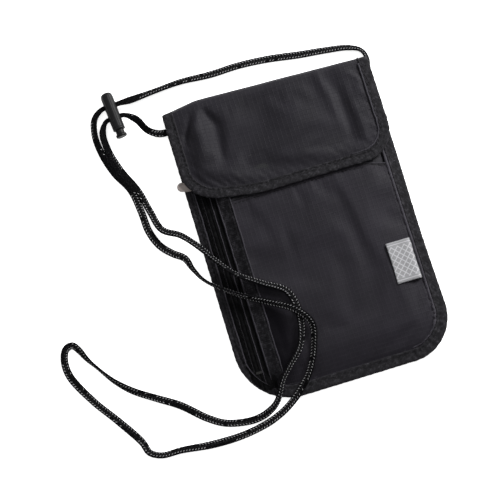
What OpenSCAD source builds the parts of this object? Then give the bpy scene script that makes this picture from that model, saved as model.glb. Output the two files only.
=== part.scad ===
// Neck pouch wallet lying on its back: flat fabric pouch with a flap, a
// vertical zip, a woven side label and a flat neck lace with a cord lock.
// Millimetres. X runs right, Y towards the fold, Z out of the front.
// The origin is the centre of the back, on the surface it lies on.

/* [Pouch] */
// Width across the side seams
pouch_w = 140; // [136:1:144]
// Length from the bottom seam to the fold
pouch_l = 200; // [196:1:204]
// Radius of the bottom left corner
corner_left_r = 36; // [30:1:38]
// Radius of the bottom right corner
corner_right_r = 30; // [26:1:36]
// Thickness of one layer of fabric
fabric_t = 0.5; // [0.4:0.05:0.5]
// Width of the seam binding on the front
binding_w = 8; // [7:0.5:8.5]
// Width of the seam binding beside the zip
binding_left_w = 5; // [4:0.5:5]
// Height of the main pocket's lining above the table
lining_z = 5.2; // [5.2:0.1:5.4]

/* [Flap] */
// Length of the flap from the fold to its lower edge
flap_l = 68; // [64:1:70]
// Radius of the flap's two lower corners
flap_corner_r = 22; // [16:1:26]
// Height of the flap's lining above the table
flap_z = 7.3; // [7.3:0.1:7.8]

/* [Zip] */
// Distance of the zip's centre line from the left edge
zip_inset = 12; // [12:0.5:12.5]
// Slider's place along the pouch when the zip is shut
slider_y = 50; // [46:1:52]
// Length of the slider's body
slider_l = 10; // [8:0.5:11]
// Width of the slider's body
slider_w = 7; // [6:0.5:7]
// Length of the pull tab from its eye to its tip
pull_l = 16.5; // [14:0.5:17]
// Width of the pull tab
pull_w = 6; // [5:0.5:6.5]
// Angle of the pull tab towards the flap
pull_turn = 16; // [0:1:30]

/* [Neck lace] */
// Width of the flat lace
lace_w = 4.8; // [4.2:0.1:5]
// Thickness of the flat lace
lace_t = 1.6; // [1.2:0.1:1.6]
// Width of the lace where the lock pinches it
lace_grip_w = 3.2; // [2.8:0.1:3.2]

/* [Cord lock] */
// Outer radius of the lock's barrel
lock_r = 4; // [4:0.1:4.1]
// Wall radius of the barrel's bore
lock_bore_r = 2.9; // [2.8:0.05:2.9]
// Length of the barrel
lock_l = 26; // [26:0.5:27]
// Radius of the cross holes for the lace
lock_hole_r = 1.9; // [1.9:0.05:2]
// Travel of the plunger
lock_travel = 2.5; // [2:0.1:2.5]

/* [Hidden] */
$fn = 64;

x_left = -pouch_w / 2;
x_right = pouch_w / 2;
y_bottom = -pouch_l / 2;
y_fold = pouch_l / 2;
seam_in = 0.5;              // raw edges stop this far inside the binding
seam_z = fabric_t;          // the binding's lower lip is one layer thick
slope_run = 8;              // the panels fall to the seam over this distance
corner_steps = 8;           // facets in a shaped panel's corner
lining_top_z = lining_z + fabric_t;
front_z = 6.3;              // underside of the front panel
front_top_z = front_z + fabric_t;
pocket_top_y = y_bottom + 131;
lining_top_y = y_fold - 5;

zip_x = x_left + zip_inset;
zip_gap = 0.8;              // between the two tapes, where the slider's post runs
tape_z = 2.9;               // underside of the tapes beside the coil
tape_t = 0.4;
tape_w = 4.4;               // flat part of a tape beside the coil
tape_top_y = slider_y + 12;
zip_bottom_y = y_bottom + 20;
zip_turn_y = y_bottom + corner_left_r - 2;    // the corner's curve starts here
coil_r = 0.3;
facing_x = zip_x + 5.6;     // the facing covers the right tape from here
facing_w = 8;
facing_slope = 0.3625;      // rise of the facing per millimetre across
panel_x = facing_x + facing_w;
front_low_x = panel_x - (front_top_z - 4 * fabric_t) / facing_slope;

plate_t = 0.4;
slider_low_z = 1.75;
slider_top_z = tape_z + tape_t + 0.2;
leg_r = 0.6;
leg_y = 3;                  // the bridge's legs stand this far from the middle
pull_z = slider_top_z + plate_t + 0.4;
pull_t = 0.8;
bridge_z = pull_z + pull_t + 0.2;
bridge_t = 0.6;
eye_r = leg_r + 0.3;

flap_y = y_fold - flap_l;
flap_top_y = y_fold + 0.2;
lip_t = 0.4;
flap_lining_t = 0.3;
flap_fabric_z = flap_z + flap_lining_t;
flap_top_z = flap_fabric_z + fabric_t;
hinge_y = y_fold + 0.75;
spine_low_z = 0.8;
spine_right_in = 8;         // the lace passes this corner
patch_w = 60;
patch_l = 16;
patch_t = 0.6;
patch_y = y_fold - 58;

hem_l = 4;
hem_t = 0.3;
label_l = 27;
label_free = 18.5;          // the label's loose end stands this far in from the seam
label_t = 0.4;
label_y = y_bottom + 50;

// how far in from the left, right and bottom each shaped panel starts and stops rising
lining_foot = [zip_inset + slope_run, binding_w, binding_w];
lining_crest = lining_foot + [slope_run, slope_run, slope_run];
front_foot = [front_low_x - x_left, binding_w, binding_w];
front_crest = [panel_x - x_left, binding_w + slope_run, binding_w + slope_run];

lock_x = -99.7;
lock_y = 109.3;
lock_z = 4.2;
lock_turn = 4.6;            // angle of the barrel from +Y
lock_top = 15.5;            // barrel's closed end, measured from its centre
lock_low = lock_top - lock_l;
hole_1 = lock_top - 9.4;
hole_2 = lock_top - 17.8;
stem_r = lock_bore_r - 0.1;
slot_half = lace_grip_w / 2 + 0.3;
stem_top = hole_1 + slot_half + 0.9;
bore_top = lock_top - 1.2;
button_r = 3.6;
button_l = 5;
spring_wire = 0.4;
spring_turns = 4;

// The lace's route from the right seam round to the left one: X, Y, height
// of its underside above the table, and its roll in degrees.
lace_route = [
    [64.5, 85, 2.45, 0], [68, 92.5, 2.6, 20], [70, 99.5, 1.4, 40], [68, 105.5, 0, 40],
    [60, 109.5, 0, 25], [46, 112, 0, 10], [28, 114.2, 0, 0], [8, 117.2, 0, 0],
    [-12, 118.6, 0, 0], [-32, 118, 0, 10], [-52, 118.8, 0.2, 25], [-72, 117.2, 1, 35],
    [-86, 116, 2.6, 15], [-94.2, 115.9, 3.4, 0], [-100.2, 115.4, 3.4, 0],
    [-106.2, 114.9, 3.4, 0], [-112.2, 110.6, 1.8, 25], [-115.2, 101, 0.4, 30],
    [-114.4, 88, 0, 20], [-110, 73, 0, 10], [-103, 59, 0, 10], [-100.5, 43, 0, 0],
    [-99.5, 30, 0.4, 0], [-95.5, 19, 1.2, 0], [-89, 11.3, 2.8, 5], [-82.2, 5.4, 5.2, 20],
    [-79.3, -3, 6.2, 55], [-74, -12.5, 6.3, 75], [-57, -26.5, 6.6, 70], [-40, -36.5, 7.1, 45],
    [-25, -46, 8.9, 35], [-17, -57.5, 7.6, 40], [-19.5, -71, 6.9, 40],
    [-26.5, -85.5, 6.2, 30], [-36, -96, 3.2, 22], [-47, -104, 0.6, 20], [-58.2, -108.9, 0, 10],
    [-68, -111.3, 0, 0], [-82, -112.9, 0, 0], [-100, -112.6, 0, 10],
    [-119, -110.4, 0, 30], [-132, -109.8, 0, 35], [-138.8, -105.9, 0, 30], [-141.4, -98.5, 0, 20],
    [-152.5, -81, 0, 0], [-164, -64.5, 0, 0],
    [-174, -44.5, 0, 0], [-174.2, -33.5, 0, 0], [-171.2, -27.6, 0, 0], [-167, -26.8, 0, 10],
    [-163.6, -31, 0, 25], [-160.5, -37.5, 0, 50], [-156, -44.5, 0, 75],
    [-147.5, -56.5, 0, 60], [-138, -65.7, 0, 35], [-125, -74.5, 0, 15],
    [-112, -83, 0, 0], [-97.5, -96, 0, 0], [-88, -102, 0, 0],
    [-77, -104.9, 0, 0], [-68, -105.4, 0.2, 5], [-60, -103.6, 1.2, 20], [-52.6, -98.9, 3.6, 45],
    [-45, -86.5, 6.9, 60], [-38, -79.2, 6.95, 60],
    [-29.5, -71.2, 6.95, 45], [-25, -62, 6.95, 30], [-22.5, -48, 6.95, 0], [-26, -33.5, 6.95, 15],
    [-40, -24, 7.05, 40], [-54, -14, 6.7, 60], [-63, -3, 6.4, 60], [-71, 9, 6.3, 40],
    [-80.5, 20.5, 4.6, 30], [-91, 28, 2.2, 20], [-95, 42, 0.4, 10], [-98.5, 57, 0, 10],
    [-106, 74, 0, 10], [-110, 90, 0.6, 20], [-109.8, 100, 2.2, 25], [-105.5, 106.5, 3.4, 0],
    [-99.5, 107, 3.4, 0], [-93.5, 107.5, 3.4, 0], [-86.6, 102.6, 2.4, 20],
    [-81.5, 93.5, 2.4, 30], [-75, 89, 2.5, 20], [-65, 88.5, 2.45, 0]];

// ---- shapes that several pieces share ----

// Rectangle from corner a to corner b whose two lower corners have the radii r
module rounded_plate(a, b, r) {
    difference() {
        translate(a) square(b - a);
        translate(a) lower_corner(r[0]);
        translate([b[0], a[1]]) mirror([1, 0]) lower_corner(r[1]);
    }
}

// The piece that rounding takes off a lower left corner at the origin
module lower_corner(r) {
    difference() {
        translate([-1, -1]) square(r + 1);
        translate([r, r]) circle(r);
    }
}

// The pouch's outline, taken in from its left, right and bottom edges
module pouch_outline(left, right, bottom, top_y) {
    rounded_plate([x_left + left, y_bottom + bottom], [x_right - right, top_y],
        [corner_left_r - max(left, bottom), corner_right_r - max(right, bottom)]);
}

// The same outline with its corners in straight facets, for the shaped panels
function corner_points(c, r, from) =
    [for (i = [0 : corner_steps]) c + r * [cos(from + 90 * i / corner_steps), sin(from + 90 * i / corner_steps)]];

function outline_points(in, top_y) = let (
        x0 = x_left + in[0],
        x1 = x_right - in[1],
        y0 = y_bottom + in[2],
        r0 = corner_left_r - max(in[0], in[2]),
        r1 = corner_right_r - max(in[1], in[2]))
    concat([[x1, top_y], [x0, top_y]], corner_points([x0 + r0, y0 + r0], r0, 180),
        corner_points([x1 - r1, y0 + r1], r1, 270));

// A panel one layer thick: a flat border at low_z, and inside it a dish that
// rises from the outline foot to the outline crest, each [left, right, bottom] in
module panel(foot, crest, low_z, high_z, top_y) {
    border(foot, low_z, top_y);
    dish(foot, crest, low_z, high_z, top_y);
}

module border(foot, z, top_y) {
    translate([0, 0, z]) linear_extrude(fabric_t) difference() {
        polygon(outline_points([seam_in, seam_in, seam_in], top_y));
        polygon(outline_points(foot, top_y));
    }
}

module dish(foot, crest, low_z, high_z, top_y) {
    difference() {
        dish_body(foot, crest, low_z, high_z, top_y);
        translate([0, 0, -fabric_t]) dish_body(foot, crest, low_z, high_z, top_y + 1);
    }
}

module dish_body(foot, crest, low_z, high_z, top_y) {
    hull() {
        translate([0, 0, low_z]) linear_extrude(fabric_t) polygon(outline_points(foot, top_y));
        translate([0, 0, high_z]) linear_extrude(fabric_t) polygon(outline_points(crest, top_y));
    }
}

// A profile in X and Z drawn out along Y
module along_y(y0, y1) {
    translate([0, y1, 0]) rotate([90, 0, 0]) linear_extrude(y1 - y0) children();
}

// Puts what is built along +Z on the lock's axis
module on_lock() {
    translate([lock_x, lock_y, lock_z]) rotate([0, 0, lock_turn]) rotate([-90, 0, 0]) children();
}

// ---- pouch ----

module back_panel() {
    color([0.13, 0.13, 0.15]) {
        linear_extrude(fabric_t) pouch_outline(binding_w + 0.2, binding_w + 0.2, binding_w + 0.2, y_fold);
        translate([0, 0, seam_z]) linear_extrude(fabric_t) difference() {
            pouch_outline(seam_in, seam_in, seam_in, y_fold - 4);
            pouch_outline(binding_w + 1.5, binding_w + 1.5, binding_w + 1.5, y_fold);
        }
    }
}

module shield_film() {
    color([0.62, 0.64, 0.66]) translate([0, 0, fabric_t]) linear_extrude(0.2)
        pouch_outline(binding_w + 2, binding_w + 2, binding_w + 2, lining_top_y - 2);
}

module divider_panel() {
    color([0.20, 0.20, 0.22])
        panel(lining_foot, lining_crest, 2 * fabric_t, lining_z, lining_top_y);
}

module front_panel() {
    color([0.15, 0.15, 0.17]) intersection() {
        panel(front_foot, front_crest, 3 * fabric_t, front_z, pocket_top_y);
        translate([panel_x, y_bottom, 0]) cube([pouch_w, pouch_l, 20]);
    }
}

// Band folded over the pocket's top edge
module pocket_hem() {
    right = x_right - binding_w - slope_run;
    color([0.18, 0.18, 0.20]) translate([panel_x, pocket_top_y - hem_l, 0]) difference() {
        translate([0, 0, front_z - hem_t])
            cube([right - panel_x, hem_l + hem_t, fabric_t + 2 * hem_t]);
        translate([-1, -1, front_z]) cube([right - panel_x + 2, hem_l + 1, fabric_t]);
    }
}

// Tape folded round the raw edges of the side and bottom seams
module edge_binding() {
    top_y = y_fold - 4;
    color([0.10, 0.10, 0.11]) {
        linear_extrude(fabric_t) difference() {
            pouch_outline(0, 0, 0, top_y);
            pouch_outline(binding_w, binding_w, binding_w, y_fold);
        }
        translate([0, 0, fabric_t]) linear_extrude(3 * fabric_t) difference() {
            pouch_outline(0, 0, 0, top_y);
            pouch_outline(seam_in, seam_in, seam_in, y_fold);
        }
        translate([0, 0, 4 * fabric_t]) linear_extrude(fabric_t) difference() {
            pouch_outline(0, 0, 0, top_y);
            pouch_outline(binding_left_w, binding_w, binding_w, y_fold);
        }
    }
}

// Doubled strip that covers the right tape and joins it to the front panel
module zip_facing() {
    color([0.12, 0.12, 0.13]) intersection() {
        dish(front_foot, front_crest, 3 * fabric_t, front_z, tape_top_y);
        translate([facing_x, y_bottom, 0]) cube([facing_w, pouch_l, 20]);
    }
}

// ---- zip ----

// The left tape rises out of the side seam; in the corner only its flat part goes on
module zip_tape_left() {
    edge = x_left + seam_in;
    rise = x_left + binding_left_w;
    inner = zip_x - zip_gap / 2;
    flat = inner - tape_w + 0.4;
    foot_z = 3 * fabric_t;
    color([0.07, 0.07, 0.08]) {
        along_y(zip_turn_y, tape_top_y) polygon([
            [edge, foot_z], [rise, foot_z], [flat, tape_z], [inner, tape_z],
            [inner, tape_z + tape_t], [flat - 0.2, tape_z + tape_t],
            [rise - 0.2, foot_z + tape_t], [edge, foot_z + tape_t]]);
        translate([flat, zip_bottom_y, tape_z]) cube([inner - flat, zip_turn_y - zip_bottom_y, tape_t]);
    }
}

// The right tape runs up under the facing; in the corner only its flat part goes on
module zip_tape_right() {
    inner = zip_x + zip_gap / 2;
    edge = facing_x + 4;
    lift = (edge - facing_x) * facing_slope;
    color([0.07, 0.07, 0.08]) {
        along_y(zip_turn_y, tape_top_y) polygon([
            [inner, tape_z], [facing_x, tape_z], [edge, tape_z + lift],
            [edge, tape_z + tape_t + lift], [facing_x, tape_z + tape_t], [inner, tape_z + tape_t]]);
        translate([inner, zip_bottom_y, tape_z])
            cube([facing_x - 0.1 - inner, zip_turn_y - zip_bottom_y, tape_t]);
    }
}

// One half of the nylon coil, sewn under its tape, as a plain rod
module coil(side) {
    translate([zip_x + side * (zip_gap / 2 + coil_r), tape_top_y - 4, tape_z - coil_r])
        rotate([90, 0, 0]) cylinder(h = tape_top_y - 4 - zip_bottom_y - 4, r = coil_r);
}

module zip_coil_left() { color([0.05, 0.05, 0.06]) coil(-1); }
module zip_coil_right() { color([0.05, 0.05, 0.06]) coil(1); }

// Stop across both tapes, clear of the slider at each end of its travel
module zip_stop(y) {
    size = [4, 1.5, 0.6];
    translate([zip_x - size[0] / 2, y - size[1] / 2, tape_z + tape_t]) cube(size);
}

module zip_top_stop() { color([0.30, 0.30, 0.31]) zip_stop(tape_top_y - 3); }
module zip_bottom_stop() { color([0.30, 0.30, 0.31]) zip_stop(zip_bottom_y + 2); }

// Slider seen from its middle: two plates, the post between the tapes, and a
// bridge on two legs for the pull
module zip_slider() {
    color([0.25, 0.25, 0.26]) translate([zip_x, slider_y, 0]) {
        for (z = [slider_low_z, slider_top_z])
            translate([-slider_w / 2, -slider_l / 2, z]) cube([slider_w, slider_l, plate_t]);
        translate([-0.2, leg_y - 1, slider_low_z])
            cube([0.4, 2, slider_top_z - slider_low_z + plate_t]);
        for (y = [-leg_y, leg_y])
            translate([0, y, slider_top_z]) cylinder(h = bridge_z - slider_top_z + bridge_t, r = leg_r);
        translate([-leg_r, -leg_y, bridge_z]) cube([2 * leg_r, 2 * leg_y, bridge_t]);
    }
}

// Pull tab lying towards the left edge, its eye round the bridge's front leg
module zip_puller() {
    neck_w = 3.4;
    neck_l = 7;
    color([0.45, 0.43, 0.40]) translate([zip_x, slider_y - leg_y, pull_z])
        rotate(-pull_turn) linear_extrude(pull_t) difference() {
            union() {
                circle(r = neck_w / 2);
                translate([-neck_l, -neck_w / 2]) square([neck_l, neck_w]);
                translate([pull_w / 2 - pull_l, -pull_w / 2])
                    square([pull_l - pull_w / 2 - neck_l, pull_w]);
                translate([pull_w / 2 - pull_l, 0]) circle(r = pull_w / 2);
            }
            circle(r = eye_r);
        }
}

// ---- closure, label ----

module patch(z) {
    translate([-patch_w / 2, patch_y, z]) cube([patch_w, patch_l, patch_t]);
}

module loop_patch() { color([0.16, 0.16, 0.17]) patch(lining_top_z); }
module hook_patch() { color([0.09, 0.09, 0.10]) patch(flap_z - patch_t); }

module woven_label() {
    seam_x = x_right - binding_w;
    crest_x = seam_x - slope_run;
    free_x = seam_x - label_free;
    seam_top = 4 * fabric_t;
    color([0.42, 0.42, 0.44]) along_y(label_y, label_y + label_l) polygon([
        [seam_x - 0.1, seam_top + 0.1], [crest_x, front_top_z + 0.05], [free_x, front_top_z + 0.5],
        [free_x, front_top_z + 0.5 + label_t], [crest_x + 0.1, front_top_z + 0.05 + label_t],
        [seam_x - 0.1, seam_top + 0.1 + label_t]]);
}

// ---- flap ----

module flap_outline(in, top_y) {
    rounded_plate([x_left + in, flap_y + in], [x_right - in, top_y],
        [flap_corner_r - in, flap_corner_r - in]);
}

// The fold between the back and the flap
module flap_spine() {
    color([0.13, 0.13, 0.15])
        translate([x_left + 2, y_fold + 0.5, spine_low_z])
            cube([pouch_w - 2 - spine_right_in, fabric_t, flap_z - 0.5 - spine_low_z]);
}

module flap_outer() {
    color([0.13, 0.13, 0.15]) translate([0, 0, flap_fabric_z]) linear_extrude(fabric_t)
        flap_outline(seam_in, flap_top_y);
}

module flap_lining() {
    color([0.20, 0.20, 0.22]) translate([0, 0, flap_z]) linear_extrude(flap_lining_t)
        flap_outline(seam_in, flap_top_y);
}

module flap_binding() {
    low_z = flap_z - lip_t;
    color([0.10, 0.10, 0.11]) {
        for (z = [low_z, flap_top_z])
            translate([0, 0, z]) linear_extrude(lip_t) difference() {
                flap_outline(0, flap_top_y);
                flap_outline(binding_w, flap_top_y + 1);
            }
        translate([0, 0, low_z]) linear_extrude(flap_top_z + lip_t - low_z) difference() {
            flap_outline(0, flap_top_y);
            flap_outline(seam_in, flap_top_y + 1);
        }
    }
}

// ---- neck lace ----

function cross_up(t) = let (n = norm([t[0], t[1]])) [-t[1] / n, t[0] / n, 0];

// The lace is pinched narrow inside the lock and spreads again beyond it
function width_at(p) =
    min(lace_w, lace_grip_w + 0.3 * max(0, norm([p[0] - lock_x, p[1] - lock_y]) - 8.5));

function half_height(p) =
    lace_t / 2 * cos(p[3]) + width_at(p) / 2 * abs(sin(p[3]));

function centre_at(i) = let (p = lace_route[i]) [p[0], p[1], p[2] + half_height(p)];

function heading_at(i) = let (
        last = len(lace_route) - 1,
        d = centre_at(min(i + 1, last)) - centre_at(max(i - 1, 0)))
    d / norm(d);

// Eight points round a flat section with eased edges, rolled about the route
function lace_ring(i) = let (
        p = lace_route[i],
        c = centre_at(i),
        t = heading_at(i),
        side = cross_up(t),
        up = cross(t, side),
        across = side * cos(p[3]) + up * sin(p[3]),
        through = cross(t, across),
        w = width_at(p) / 2,
        h = lace_t / 2,
        outline = [[1, 0.4], [0.8, 1], [-0.8, 1], [-1, 0.4], [-1, -0.4], [-0.8, -1], [0.8, -1], [1, -0.4]])
    [for (q = outline) c + across * (q[0] * w) + through * (q[1] * h)];

module neck_cord() {
    n = len(lace_route);
    k = 8;
    points = [for (i = [0 : n - 1]) each lace_ring(i)];
    sides = [for (i = [0 : n - 2], j = [0 : k - 1])
        [i * k + j, i * k + (j + 1) % k, (i + 1) * k + (j + 1) % k, (i + 1) * k + j]];
    start = [[for (j = [0 : k - 1]) k - 1 - j]];
    end = [[for (j = [0 : k - 1]) (n - 1) * k + j]];
    color([0.08, 0.08, 0.09]) polyhedron(points, concat(start, sides, end), convexity = 10);
}

// ---- cord lock, each piece built along its own axis ----

module lock_barrel() {
    round_r = 2;
    color([0.22, 0.23, 0.24]) on_lock() difference() {
        union() {
            translate([0, 0, lock_low]) cylinder(h = lock_l - round_r, r = lock_r);
            translate([0, 0, lock_top - round_r]) cylinder(h = round_r, r = lock_r - round_r);
            translate([0, 0, lock_top - round_r])
                rotate_extrude() translate([lock_r - round_r, 0]) intersection() {
                    circle(round_r);
                    square(round_r);
                }
        }
        translate([0, 0, lock_low - 1]) cylinder(h = bore_top - lock_low + 1, r = lock_bore_r);
        for (s = [hole_1, hole_2])
            translate([0, 0, s]) rotate([0, 90, 0])
                cylinder(h = 4 * lock_r, r = lock_hole_r, center = true);
    }
}

// Stem with a slot for each pass of the lace, and the button that is pressed
module lock_plunger() {
    slot_h = 2 * lock_hole_r;
    button_h = button_l - lock_travel - 0.5;
    color([0.12, 0.12, 0.13]) on_lock() {
        difference() {
            translate([0, 0, lock_low - button_l]) cylinder(h = stem_top - lock_low + button_l, r = stem_r);
            for (s = [hole_1, hole_2])
                translate([-lock_r, -slot_h / 2, s - slot_half - lock_travel])
                    cube([2 * lock_r, slot_h, 2 * slot_half + lock_travel]);
        }
        translate([0, 0, lock_low - button_l]) cylinder(h = button_h, r = button_r);
    }
}

// Return spring between the stem and the closed end: rings joined down one side
module lock_spring() {
    length = bore_top - stem_top;
    pitch = (length - spring_wire) / spring_turns;
    outer_r = lock_bore_r - 0.4;
    color([0.70, 0.70, 0.72]) on_lock() difference() {
        translate([0, 0, stem_top]) cylinder(h = length, r = outer_r);
        translate([0, 0, stem_top - 1]) cylinder(h = length + 2, r = outer_r - spring_wire);
        for (i = [0 : spring_turns - 1])
            translate([0, -2, stem_top + spring_wire + i * pitch])
                cube([lock_r, 4, pitch - spring_wire]);
    }
}

back_panel();
shield_film();
divider_panel();
front_panel();
pocket_hem();
edge_binding();
zip_facing();
zip_tape_left();
zip_tape_right();
zip_coil_left();
zip_coil_right();
zip_top_stop();
zip_bottom_stop();
loop_patch();
woven_label();
flap_spine();
flap_outer();
flap_lining();
flap_binding();
hook_patch();
zip_slider();
zip_puller();
neck_cord();
lock_barrel();
lock_plunger();
lock_spring();
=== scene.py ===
"""Looks of a neck pouch wallet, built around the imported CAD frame.

Lengths are millimetres in the row frame, unless a comment says metres: X to the right,
Y towards the fold, Z out of the front. MM turns them into Blender's metres.
"""
import math

import bmesh
import bpy
import numpy as np
from mathutils import Matrix, Vector, noise


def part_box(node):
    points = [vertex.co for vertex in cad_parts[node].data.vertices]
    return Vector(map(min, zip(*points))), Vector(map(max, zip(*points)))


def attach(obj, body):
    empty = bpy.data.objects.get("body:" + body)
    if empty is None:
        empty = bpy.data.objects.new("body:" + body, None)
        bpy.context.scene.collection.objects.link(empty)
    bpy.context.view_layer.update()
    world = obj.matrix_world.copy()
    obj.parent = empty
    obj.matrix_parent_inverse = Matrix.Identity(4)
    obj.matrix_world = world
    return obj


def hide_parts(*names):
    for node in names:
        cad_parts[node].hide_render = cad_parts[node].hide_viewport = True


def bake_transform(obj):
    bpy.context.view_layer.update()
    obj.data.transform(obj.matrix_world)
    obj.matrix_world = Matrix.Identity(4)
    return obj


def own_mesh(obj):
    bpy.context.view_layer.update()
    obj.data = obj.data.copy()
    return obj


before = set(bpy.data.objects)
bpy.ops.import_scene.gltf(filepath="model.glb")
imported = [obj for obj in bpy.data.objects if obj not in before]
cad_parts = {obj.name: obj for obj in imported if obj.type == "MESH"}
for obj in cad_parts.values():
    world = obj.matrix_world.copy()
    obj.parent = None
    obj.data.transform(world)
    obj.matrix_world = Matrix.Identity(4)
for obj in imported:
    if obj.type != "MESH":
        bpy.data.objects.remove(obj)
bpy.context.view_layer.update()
MM = 0.001


# ---- sizes, from the frame where it holds them ----

def corner(node, end):
    """One corner of a CAD node's box, in millimetres."""
    return np.array(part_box(node)[end]) / MM


LOW, HIGH = corner("edge_binding", 0), corner("edge_binding", 1)
X_LEFT, X_RIGHT, Y_BOTTOM = LOW[0], HIGH[0], LOW[1]
Y_FOLD = corner("back_panel", 1)[1]
SEAM_TOP = Y_FOLD - 4.0                 # the binding ends here, under the flap
R_LEFT, R_RIGHT = 36.0, 30.0            # bottom corners
BINDING = 8.0                           # binding's width on the front
BINDING_LEFT = 5.4                      # and beside the zip
FRONT_TOP = corner("front_panel", 1)[2]
POCKET_TOP = corner("front_panel", 1)[1]
LINING_TOP_Y, LINING_TOP = corner("divider_panel", 1)[1:]
FLAP_Y = corner("flap_binding", 0)[1]
FLAP_R = 22.0
FLAP_Z = corner("flap_outer", 1)[2]     # top of the flap's fabric
ZIP_X = (corner("zip_slider", 0)[0] + corner("zip_slider", 1)[0]) / 2
SLIDER_Y = (corner("zip_slider", 0)[1] + corner("zip_slider", 1)[1]) / 2
TAPE_Z = corner("zip_coil_left", 1)[2]
FACING_X = corner("zip_facing", 0)[0]
PANEL_X = corner("zip_facing", 1)[0]
ZIP_TOP, ZIP_BOTTOM = corner("zip_tape_right", 1)[1], corner("zip_tape_right", 0)[1]
LABEL_LOW, LABEL_HIGH = corner("woven_label", 0), corner("woven_label", 1)
LABEL_Y = (LABEL_LOW[1] + LABEL_HIGH[1]) / 2
BACK_CLOTH, FRONT_CLOTH, FLAP_CLOTH = 0.5, 0.45, 0.4    # thicknesses of the drawn cloths
POCKET_LINING, FLAP_LINING, LABEL_TAPE = 0.4, 0.25, 0.35
UP = np.array([0, 0, 1.0])


# ---- small tools ----

def smooth(a, b, x):
    t = np.clip((np.asarray(x, float) - a) / (b - a), 0, 1)
    return t * t * (3 - 2 * t)


def bump(x, centre, width):
    return np.exp(-((np.asarray(x, float) - centre) / width) ** 2)


def rough(x, y, scale, seed):
    """Smooth noise in -1 to 1 over arrays x and y, with that feature size."""
    x, y = np.broadcast_arrays(np.asarray(x, float), np.asarray(y, float))
    flat = [noise.noise(Vector((a / scale, b / scale, seed))) for a, b in zip(x.ravel(), y.ravel())]
    return np.array(flat).reshape(x.shape)


def link(obj):
    bpy.context.scene.collection.objects.link(obj)
    return obj


def mesh_object(name, points, faces, uv=None):
    """A mesh from points in millimetres; uv is one (u, v) in millimetres per point."""
    mesh = bpy.data.meshes.new(name)
    mesh.from_pydata([tuple(float(c) * MM for c in p) for p in points], [], faces)
    if uv is not None:
        layer = mesh.uv_layers.new(name="UVMap")
        index = np.empty(len(mesh.loops), int)
        mesh.loops.foreach_get("vertex_index", index)
        layer.data.foreach_set("uv", (np.asarray(uv, float)[index] * MM).ravel())
    mesh.polygons.foreach_set("use_smooth", [True] * len(mesh.polygons))
    mesh.validate()
    mesh.update()
    return link(bpy.data.objects.new(name, mesh))


def grid_faces(rows, cols, wrap=False):
    last = cols if wrap else cols - 1
    return [(i * cols + j, i * cols + (j + 1) % cols, (i + 1) * cols + (j + 1) % cols, (i + 1) * cols + j)
            for i in range(rows - 1) for j in range(last)]


def closed_faces(rows, cols):
    """Faces of closed rows, with a face over each end."""
    ends = [tuple(reversed(range(cols))), tuple((rows - 1) * cols + j for j in range(cols))]
    return grid_faces(rows, cols, True) + ends


def grid_object(name, points, uv=None, closed=False):
    """A grid of points, shape (rows, cols, 3); closed joins each row up and covers the ends."""
    faces = (closed_faces if closed else grid_faces)(*points.shape[:2])
    if uv is None:
        uv = points[:, :, :2]
    return mesh_object(name, points.reshape(-1, 3), faces, np.asarray(uv).reshape(-1, 2))


def grid_of(*values):
    """Stacks values that broadcast to one grid: X, Y and Z, or U and V."""
    return np.stack(np.broadcast_arrays(*values), axis=-1)


def lengths(points):
    """Distance along a line of points, from its start."""
    return np.concatenate([[0], np.cumsum(np.linalg.norm(np.diff(points, axis=0), axis=1))])


def unit(vectors):
    return vectors / np.linalg.norm(vectors, axis=-1)[..., None]


def tube(name, line, radius, sides=8):
    """A round bar along a line, of one radius or of one for each point."""
    ahead = unit(np.gradient(line, axis=0))
    helper = UP if abs(ahead[:, 2]).max() < 0.95 else np.array([1.0, 0, 0])
    side = unit(np.cross(helper, ahead))
    up = np.cross(ahead, side)
    turn = np.linspace(0, 2 * np.pi, sides, endpoint=False)
    radius = np.broadcast_to(np.asarray(radius, float), (len(line),))
    points = line[:, None] + radius[:, None, None] * (
        side[:, None] * np.cos(turn)[None, :, None] + up[:, None] * np.sin(turn)[None, :, None])
    return grid_object(name, points, grid_of(turn, lengths(line)[:, None]), closed=True)


def modifier(obj, kind, **values):
    m = obj.modifiers.new(kind.lower(), kind)
    for key, value in values.items():
        setattr(m, key, value)
    return m


def apply_modifiers(obj):
    graph = bpy.context.evaluated_depsgraph_get()
    made = bpy.data.meshes.new_from_object(obj.evaluated_get(graph))
    obj.modifiers.clear()
    obj.data = made
    return obj


def thicken(obj, thickness):
    """Gives a sheet its thickness below the surface it was drawn as."""
    modifier(obj, "SOLIDIFY", thickness=thickness * MM, offset=-1)
    return apply_modifiers(obj)


def crisp(obj, angle=55):
    """Smooth faces, except across edges sharper than the angle."""
    obj.data.set_sharp_from_angle(angle=math.radians(angle))
    return obj


def finish_piece(obj, material, body=None, replaces=()):
    obj.data.materials.clear()
    obj.data.materials.append(material)
    if body:
        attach(obj, body)
    if replaces:
        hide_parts(*replaces)
    return obj


# ---- materials ----

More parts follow.
